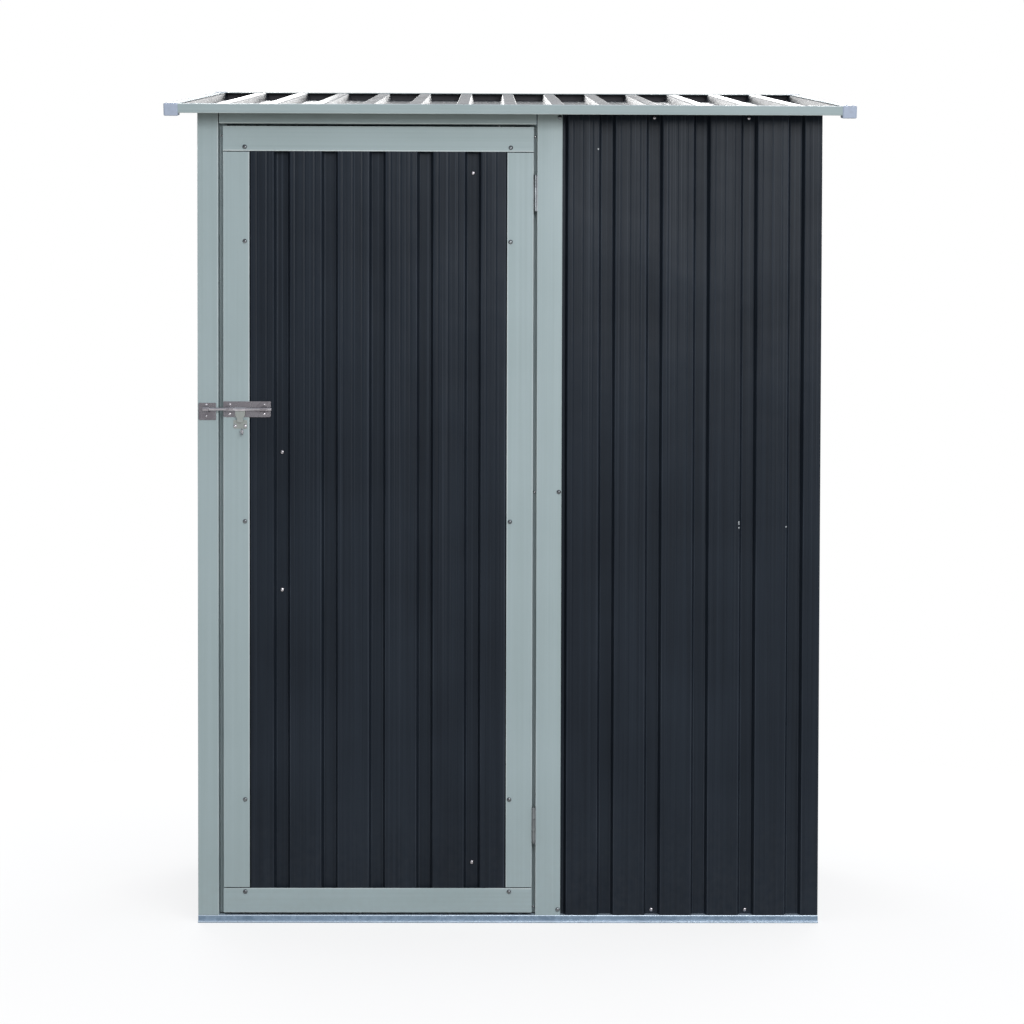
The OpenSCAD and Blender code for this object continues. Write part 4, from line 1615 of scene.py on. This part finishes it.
@dataclass
class SlideBolt:
    """Slide bolt: its plate with two guides, the rod, the lifting tab, the padlock staple and the keeper."""

    rod_y: float = -389.15
    rod_z: float = 1079.8
    rod_x: tuple[float, float] = (-641.0, -497.6)
    rod_r: float = 3.6
    rod_soft: float = 1.4
    rod_sides: int = 32
    plate: Outline = (-599.0, -500.0, 1063.3, 1096.3)
    plate_t: float = 1.2
    plate_corner: float = 2.5
    plate_edge: float = 0.35
    guides: tuple[tuple[float, float], ...] = ((-593.0, -578.0), (-521.0, -506.0))
    keeper: Outline = (-651.0, -614.0, 1057.1, 1093.1)
    loop: tuple[float, float] = (-641.0, -628.0)
    strap_t: float = 1.2
    strap_room: float = 0.6
    strap_bend: float = 0.1
    strap_turns: Sequence[int] = range(-90, 91, 15)
    tab_x: tuple[float, float] = (-574.0, -553.0)
    tab_waist: float = 13.0
    tab_len: float = 28.0
    tab_t: float = 2.0
    tab_in: float = 0.4
    tab_lap: float = 0.6
    tab_steps: tuple[float, float] = (0.45, 0.66)
    tab_corner: float = 4.0
    sleeve_r: float = 4.85
    slack: float = 0.05
    staple: Outline = (-578.0, -549.0, 1039.3, 1057.3)
    eye: Spot = (-559.274, -392.163, 1032.3)
    eye_r: float = 5.5
    eye_wire: float = 1.5
    eye_turn: float = 25.0
    eye_sides: int = 16
    eye_steps: int = 40
    eye_merge: float = 0.05
    neck_r: float = 2.0
    neck_soft: float = 0.3
    neck_lap: float = 0.5
    neck_foot: float = 0.4

    def build(self) -> None:
        """Makes the pieces of the bolt and hands them over."""
        guides = [self._strap("guide", g) for g in self.guides]
        plate = joined("bolt_plate_pressed", self._plate("plate", self.plate), *guides)
        hand_over(plate, ZINC, Body.DOOR, "bolt_plate")
        keeper = joined("bolt_keeper_pressed", self._plate("keeper", self.keeper), self._strap("loop", self.loop))
        hand_over(keeper, ZINC, Body.SHED, "bolt_keeper")
        rod = bar("bolt_rod_turned", *self._on_rod(self.rod_x), self.rod_r, self.rod_soft, self.rod_sides)
        hand_over(rod, BRIGHT_ZINC, Body.BOLT, "bolt_rod")
        # The tab takes zinc tinted to paint the pale frame's reflection.
        hand_over(self._tab(), SATIN_ZINC_PAINTED_REFLECTION, Body.TAB, "bolt_tab")
        sleeve = tube("bolt_tab_sleeve_rolled", *self._on_rod(self.tab_x), self.sleeve_r, self.rod_r + self.slack)
        hand_over(sleeve, BRIGHT_ZINC, Body.TAB)
        # The staple's plate takes zinc tinted to paint the pale frame's reflection.
        hand_over(self._plate("bolt_staple_pressed", self.staple), SATIN_ZINC_PAINTED_REFLECTION, Body.DOOR, "bolt_staple")
        hand_over(self._eye(), BRIGHT_ZINC, Body.DOOR)

    def _on_rod(self, places: tuple[float, float]) -> list[Point]:
        """Two points on the rod's axis."""
        return [(x, self.rod_y, self.rod_z) for x in places]

    def _plate(self, name: str, outline: Outline) -> Piece:
        """Presses a plate on the front's face, with rounded corners.

        Args:
            name: Name of the piece.
            outline: Its left, right, lower and upper edge.

        Returns:
            The plate.
        """
        x0, x1, z0, z1 = outline
        low, high = (x0, SHED.face_y - self.plate_t, z0), (x1, SHED.face_y, z1)
        return block(name, low, high, self.plate_corner, Y_AXIS, self.plate_edge)

    def _strap(self, name: str, span: tuple[float, float]) -> Piece:
        """Bends a strap over the rod, its legs standing on the plate.

        Args:
            name: Name of the piece.
            span: Its left and right edge.

        Returns:
            The strap.
        """
        r = self.rod_r + self.strap_room + self.strap_t
        foot = SHED.face_y - self.plate_t / 2
        turns = [math.radians(a) for a in self.strap_turns]
        arc = [(self.rod_y - r * math.cos(a), self.rod_z + r * math.sin(a)) for a in turns]
        path = [(foot, self.rod_z - r), *arc, (foot, self.rod_z + r)]
        place, bend = bench(Vector(), Y_AXIS, Z_AXIS), self.strap_bend
        return FoldedSheet(name, path, span, place, Metal.RIGHT, bend, bend, self.strap_t, segments=1).build()

    def _tab(self) -> Piece:
        """Makes the flat tab that hangs from the sleeve, waisted and rounded at its foot.

        Returns:
            The tab.
        """
        top, width = self.sleeve_r - self.tab_lap, self.tab_x[1] - self.tab_x[0] - self.tab_in
        shoulder, waist = (self.tab_len * share for share in self.tab_steps)
        middle = Vector((sum(self.tab_x) / 2, self.rod_y, self.rod_z - (top + shoulder) / 2))
        select_only()
        bpy.ops.mesh.primitive_cube_add(size=MM, location=middle * MM, scale=(width, self.tab_t, shoulder - top))
        tab = started("bolt_tab_pressed")
        foot = (self.rod_z - (waist + self.tab_len) / 2) * MM
        with editing(tab):
            pick(Part.FACE, lambda f: f.normal.z < -FACING)
            extrude(0, 0, shoulder - waist)
            bpy.ops.transform.resize(value=(self.tab_waist / width, 1, 1))
            extrude(0, 0, waist - self.tab_len)
            pick(Part.EDGE, lambda e: runs_along(e, Y_AXIS) and e.verts[0].co.z < foot)
            bevel(self.tab_corner, CORNER_SEGMENTS)
            soften(self.plate_edge)
        return tab

    def _eye(self) -> Piece:
        """Spins the round padlock eye and sets it on a neck, which stands on the small plate below the tab.

        Returns:
            The eye with its neck.
        """
        centre = Vector(self.eye)
        turn = Matrix.Rotation(math.radians(self.eye_turn), 4, "Z")
        select_only()
        bpy.ops.mesh.primitive_circle_add(
            vertices=self.eye_sides,
            radius=self.eye_wire * MM,
            fill_type="NOTHING",
            location=(0, 0, self.eye_r * MM),
            rotation=(0, math.pi / 2, math.pi / 2),
        )
        ring = started("ring")
        with editing(ring):
            bpy.ops.mesh.select_all(action="SELECT")
            bpy.ops.mesh.spin(steps=self.eye_steps, angle=2 * math.pi, center=(0, 0, 0), axis=(1, 0, 0))
            bpy.ops.mesh.select_all(action="SELECT")
            bpy.ops.mesh.remove_doubles(threshold=self.eye_merge * MM)
            bpy.ops.mesh.normals_make_consistent(inside=False)
        ring.matrix_world = Matrix.Translation(centre * MM) @ turn
        start = centre + turn @ Y_AXIS * (self.eye_r - self.neck_lap)
        foot = (sum(self.staple[:2]) / 2, SHED.face_y - self.neck_foot, centre.z)
        neck = bar("neck", start, foot, self.neck_r, self.neck_soft, self.eye_sides)
        return joined("bolt_staple_eye_forged", ring, neck)


@dataclass
class Screws:
    """Cross-head screws of one size and finish, each one driven to another turn."""

    radius: float
    height: float
    finish: CoatedSteel
    count: int = 0
    sides: int = 20
    rim: float = 0.25
    dome: tuple[int, ...] = (0, 25, 45, 63, 80)
    recess: tuple[float, float, float] = (0.45, 0.09, 0.6)
    recess_edge: float = 0.01
    turn: float = 137.5

    def head(self) -> Piece:
        """Turns one round head with a cross recess, standing on the ground plane.

        Returns:
            The head.
        """
        rim, turns = self.rim * self.height, [math.radians(a) for a in self.dome]
        head, _ = cylinder("screw_head", (0, 0, 0), (0, 0, rim), self.radius, self.sides)
        with editing(head):
            pick(Part.FACE, lambda f: f.normal.z > FACING)
            for a, b in zip(turns, turns[1:]):
                narrower = math.cos(b) / math.cos(a)
                extrude(0, 0, (self.height - rim) * (math.sin(b) - math.sin(a)))
                bpy.ops.transform.resize(value=(narrower, narrower, 1))
        reach, wide, deep = self.recess[0] * self.radius, self.recess[1] * self.radius, self.recess[2] * self.height
        for x, y in ((reach, wide), (wide, reach)):
            bore(head, block("recess", (-x, -y, deep), (x, y, self.height + 1), edge=self.recess_edge))
        return head

    def drive(self, group: str, body: Body, places: Sequence[Plane]) -> None:
        """Drives a screw at each place and hands the group over.

        Args:
            group: Name of the group of screws.
            body: Body that the screws move with.
            places: Point on the surface and direction out of it, for each screw.
        """
        head, copies = self.head(), []
        for point, out in places:
            self.count += 1
            turn = Matrix.Rotation(math.radians(self.turn * self.count), 4, "Z")
            upright = out.to_track_quat("Z", "Y").to_matrix().to_4x4()
            copies.append(duplicate(head, Matrix.Translation(point * MM) @ upright @ turn))
        bpy.data.objects.remove(head)
        hand_over(joined(f"{group}_screws", *copies), self.finish, body)


@dataclass
class Fixings:
    """Every screw that shows, placed on the sheet that it holds."""

    # Screws of the pale frame take zinc darkened to paint their shade.
    pan: Screws = field(default_factory=lambda: Screws(4.7, 3.2, SHADED_ZINC))
    bright: Screws = field(default_factory=lambda: Screws(4.7, 3.2, BRIGHT_ZINC))
    small: Screws = field(default_factory=lambda: Screws(2.9, 1.7, BRIGHT_ZINC))
    round: Screws = field(default_factory=lambda: Screws(3.6, 2.4, BRIGHT_ZINC))
    bolt: SlideBolt = field(default_factory=SlideBolt)
    stile_x: tuple[float, float] = (-554.0, 1.0)
    stile_z: tuple[float, ...] = (1626.8, 1430.7, 845.4, 260.3, 65.5)
    braces: Path = ((-77.7, 1576.1), (-77.7, 125.2), (-477.6, 990.6), (-477.6, 701.2))
    walls: tuple[tuple[Wall, float], ...] = (
        (Wall.FRONT, 302.3),
        (Wall.LEFT, -247.75),
        (Wall.RIGHT, -247.75),
        (Wall.BACK, -495.5),
    )
    low_z: float = 24.5
    high_z: float = 1690.3
    end_room: float = 40.0
    jamb_x: float = 103.5
    jamb_n: float = 1.0
    jamb_z: tuple[float, ...] = (1691.0, 908.2, 27.5)
    stops: Path = ((52.8, 1654.0), (52.8, 907.6), (52.8, 28.0), (-604.5, 1654.0))
    guide_dz: float = 9.6
    staple_dx: float = 10.6
    staple_z: float = 1045.1
    keeper_z: tuple[float, float] = (1089.0, 1065.1)
    cap_in: float = 13.0
    trim_spot: Spot = (-97.0, 12.0, 0.7)

    def build(self) -> None:
        """Drives the screws of the door, the doorway, the walls, the bolt and the roof."""
        bolt, valley = self.bolt, SHED.trim_t + SHED.rib_h
        self.pan.drive("door", Body.DOOR, self._front(0, [(x, z) for z in self.stile_z for x in self.stile_x]))
        self.bright.drive("brace", Body.DOOR, self._front(valley, self.braces))
        self.pan.drive("doorway", Body.SHED, self._front(self.jamb_n, [(self.jamb_x, z) for z in self.jamb_z]))
        for wall, first in self.walls:
            self.bright.drive(f"wall_{wall.name.lower()}", Body.SHED, self._wall(wall, first))
        heights = (bolt.rod_z + self.guide_dz, bolt.rod_z - self.guide_dz)
        plate = [(sum(guide) / 2, z) for guide in bolt.guides for z in heights]
        staple = [(sum(bolt.staple[:2]) / 2 + dx, self.staple_z) for dx in (-self.staple_dx, self.staple_dx)]
        keeper = [(sum(bolt.loop) / 2, z) for z in self.keeper_z]
        self.small.drive("bolt_plate", Body.DOOR, self._front(-bolt.plate_t, plate))
        self.round.drive("staple", Body.DOOR, self._front(-bolt.plate_t, staple))
        self.small.drive("keeper", Body.SHED, self._front(-bolt.plate_t, keeper))
        self.small.drive("stop", Body.SHED, self._front(SHED.stop_n, self.stops))
        self.small.drive("roof", Body.SHED, self._roof())

    def _front(self, n: float, spots: Path) -> list[Plane]:
        """Places on the front, at a depth behind its face."""
        return [(Vector((x, SHED.face_y + n, z)), -Y_AXIS) for x, z in spots]

    def _wall(self, wall: Wall, first: float) -> list[Plane]:
        """Finds the places on every other narrow flat of a wall, along its foot and its head.

        Args:
            wall: Wall that takes the screws.
            first: Place of the first flat along the wall.

        Returns:
            Point and direction of each screw.
        """
        places, u = [], first
        while u < wall.half - self.end_room:
            base = wall.origin + wall.inward * (SHED.trim_t + SHED.rib_h) + wall.along * u
            high = SHED.roof_under(base.y) - (SHED.front_h - self.high_z)
            places += [(base + Z_AXIS * z, -wall.inward) for z in (self.low_z, high)]
            u += 2 * SHED.wall_pitch
        return places

    def _roof(self) -> list[Plane]:
        """Finds the places on the corner caps and on the front trim's top.

        Returns:
            Point and direction of each screw.
        """
        up, out, origin = SHED.roof_up, SHED.roof_out, SHED.roof_origin
        x, y, z = SHED.trim_x - self.cap_in, SHED.trim_y - self.cap_in, SHED.cap_hi - self.small.height
        spots = [(sx * x, sy * y, z) for sx in (-1, 1) for sy in (-1, 1)]
        along, inward, down = self.trim_spot
        spots.append((along, inward - SHED.trim_y, SHED.trim_top - down))
        return [(origin + X_AXIS * a + up * b + out * c, out) for a, b, c in spots]


@dataclass(frozen=True)
class SoftBox:
    """Rectangular lamp: its place, aim and size in metres, its power in watts, and whether a gloss mirrors it."""

    name: str
    place: Point
    aim: Point
    size: tuple[float, float]
    energy: float
    in_gloss: bool = True

    def build(self) -> None:
        """Adds the lamp."""
        turn = (Vector(self.aim) - Vector(self.place)).to_track_quat("-Z", "Y").to_euler()
        bpy.ops.object.light_add(type="AREA", location=self.place, rotation=turn)
        lamp = bpy.context.active_object
        lamp.name = self.name
        lamp.data.shape = "RECTANGLE"
        lamp.data.size, lamp.data.size_y = self.size
        lamp.data.energy = self.energy
        lamp.visible_glossy = self.in_gloss


@dataclass
class Studio:
    """Camera at the photograph's place, a pale floor and soft light."""

    eye: Point = (-0.040, -5.083, 0.999)
    pitch: float = -1.62
    yaw: float = -0.55
    roll: float = -0.15
    lens: float = 78.82
    sensor: float = 36.0
    floor_reach: float = 14.0
    floor_sides: int = 96
    lamps: tuple[SoftBox, ...] = (
        SoftBox("key", (1.7, -5.7, 3.0), (0, 0, 1.0), (4.0, 2.5), 182.0),
        SoftBox("fill", (-0.3, -6.4, 1.2), (0, 0, 0.8), (1.6, 1.6), 30.0, in_gloss=False),
        SoftBox("back_left", (-2.0, 5.2, 3.1), (0, 0, 1.5), (2.4, 2.4), 120.0),
        SoftBox("back_right", (2.0, 5.2, 3.1), (0, 0, 1.5), (2.4, 2.4), 120.0),
    )
    sky_tint: str = "#f3f7ff"
    sky: float = 0.76
    ground: float = 0.2
    horizon: tuple[float, float] = (-0.1, 0.6)
    screen: tuple[float, float] = (0.0, 0.5)
    screen_middle: tuple[float, float, float, float] = (0.02, 0.1, 0.6, 1.0)
    backdrop: float = 1.0

    def build(self) -> None:
        """Sets the camera, the floor, the lamps and the world."""
        bpy.context.scene.view_settings.view_transform = "Standard"
        self._camera()
        self._floor()
        for lamp in self.lamps:
            lamp.build()
        self._world()

    def _camera(self) -> None:
        """Adds the camera."""
        select_only()
        turn = Euler([math.radians(a) for a in (90 + self.pitch, self.roll, self.yaw)])
        bpy.ops.object.camera_add(location=self.eye, rotation=turn)
        camera = bpy.context.active_object
        camera.data.lens, camera.data.sensor_width = self.lens, self.sensor
        bpy.context.scene.camera = camera

    def _floor(self) -> None:
        """Lays the round floor."""
        select_only()
        bpy.ops.mesh.primitive_circle_add(vertices=self.floor_sides, radius=self.floor_reach, fill_type="NGON")
        floor = started("studio_floor")
        with editing(floor):
            bpy.ops.mesh.select_all(action="SELECT")
            bpy.ops.mesh.inset(thickness=self.floor_reach / 2)
        floor.data.materials.append(FLOOR_PAPER.material())

    def _world(self) -> None:
        """Soft light from all round, brighter overhead, with a white backdrop that the camera and a gloss see."""
        world = bpy.data.worlds.new("studio")
        world.use_nodes = True
        tree = world.node_tree
        axes = add(tree, "SeparateXYZ", [add(tree, "TexCoord", out="Generated")]).node.outputs
        room = add(tree, "MapRange", [axes["Z"], *self.horizon, self.ground, self.sky])
        behind = add(tree, "MapRange", [axes["Y"], *self.screen])
        aside = add(tree, "Math", [axes["X"]], operation="ABSOLUTE")
        flank = add(tree, "MapRange", [aside, *self.screen_middle])
        facing = add(tree, "Math", [behind, flank], operation="MULTIPLY")
        mirrored = add(tree, "Math", [facing, add(tree, "LightPath", out="Is Glossy Ray")], operation="MULTIPLY")
        seen = add(tree, "Math", [mirrored, seen_white(tree)], operation="MAXIMUM")
        tint = add(tree, "Mix", {0: seen, MIX_A: linear(self.sky_tint), MIX_B: WHITE}, **COLOUR_MIX)
        light = add(tree, "Mix", {0: seen, 2: room, 3: self.backdrop}, data_type="FLOAT")
        plug(tree, tree.nodes["Background"], {"Color": tint, "Strength": light})
        bpy.context.scene.world = world


def main() -> None:
    """Builds every sub-assembly round the frame."""
    logging.basicConfig(level=logging.INFO, format="%(name)s: %(message)s")
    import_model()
    for part in (Studio, BaseFrame, Walls, Doorway, RoofRails, Roof, Door, Hinges, SlideBolt, Fixings):
        part().build()
        LOG.info("%s done", part.__name__)
    bpy.context.view_layer.update()


if __name__ == "__main__":
    main()
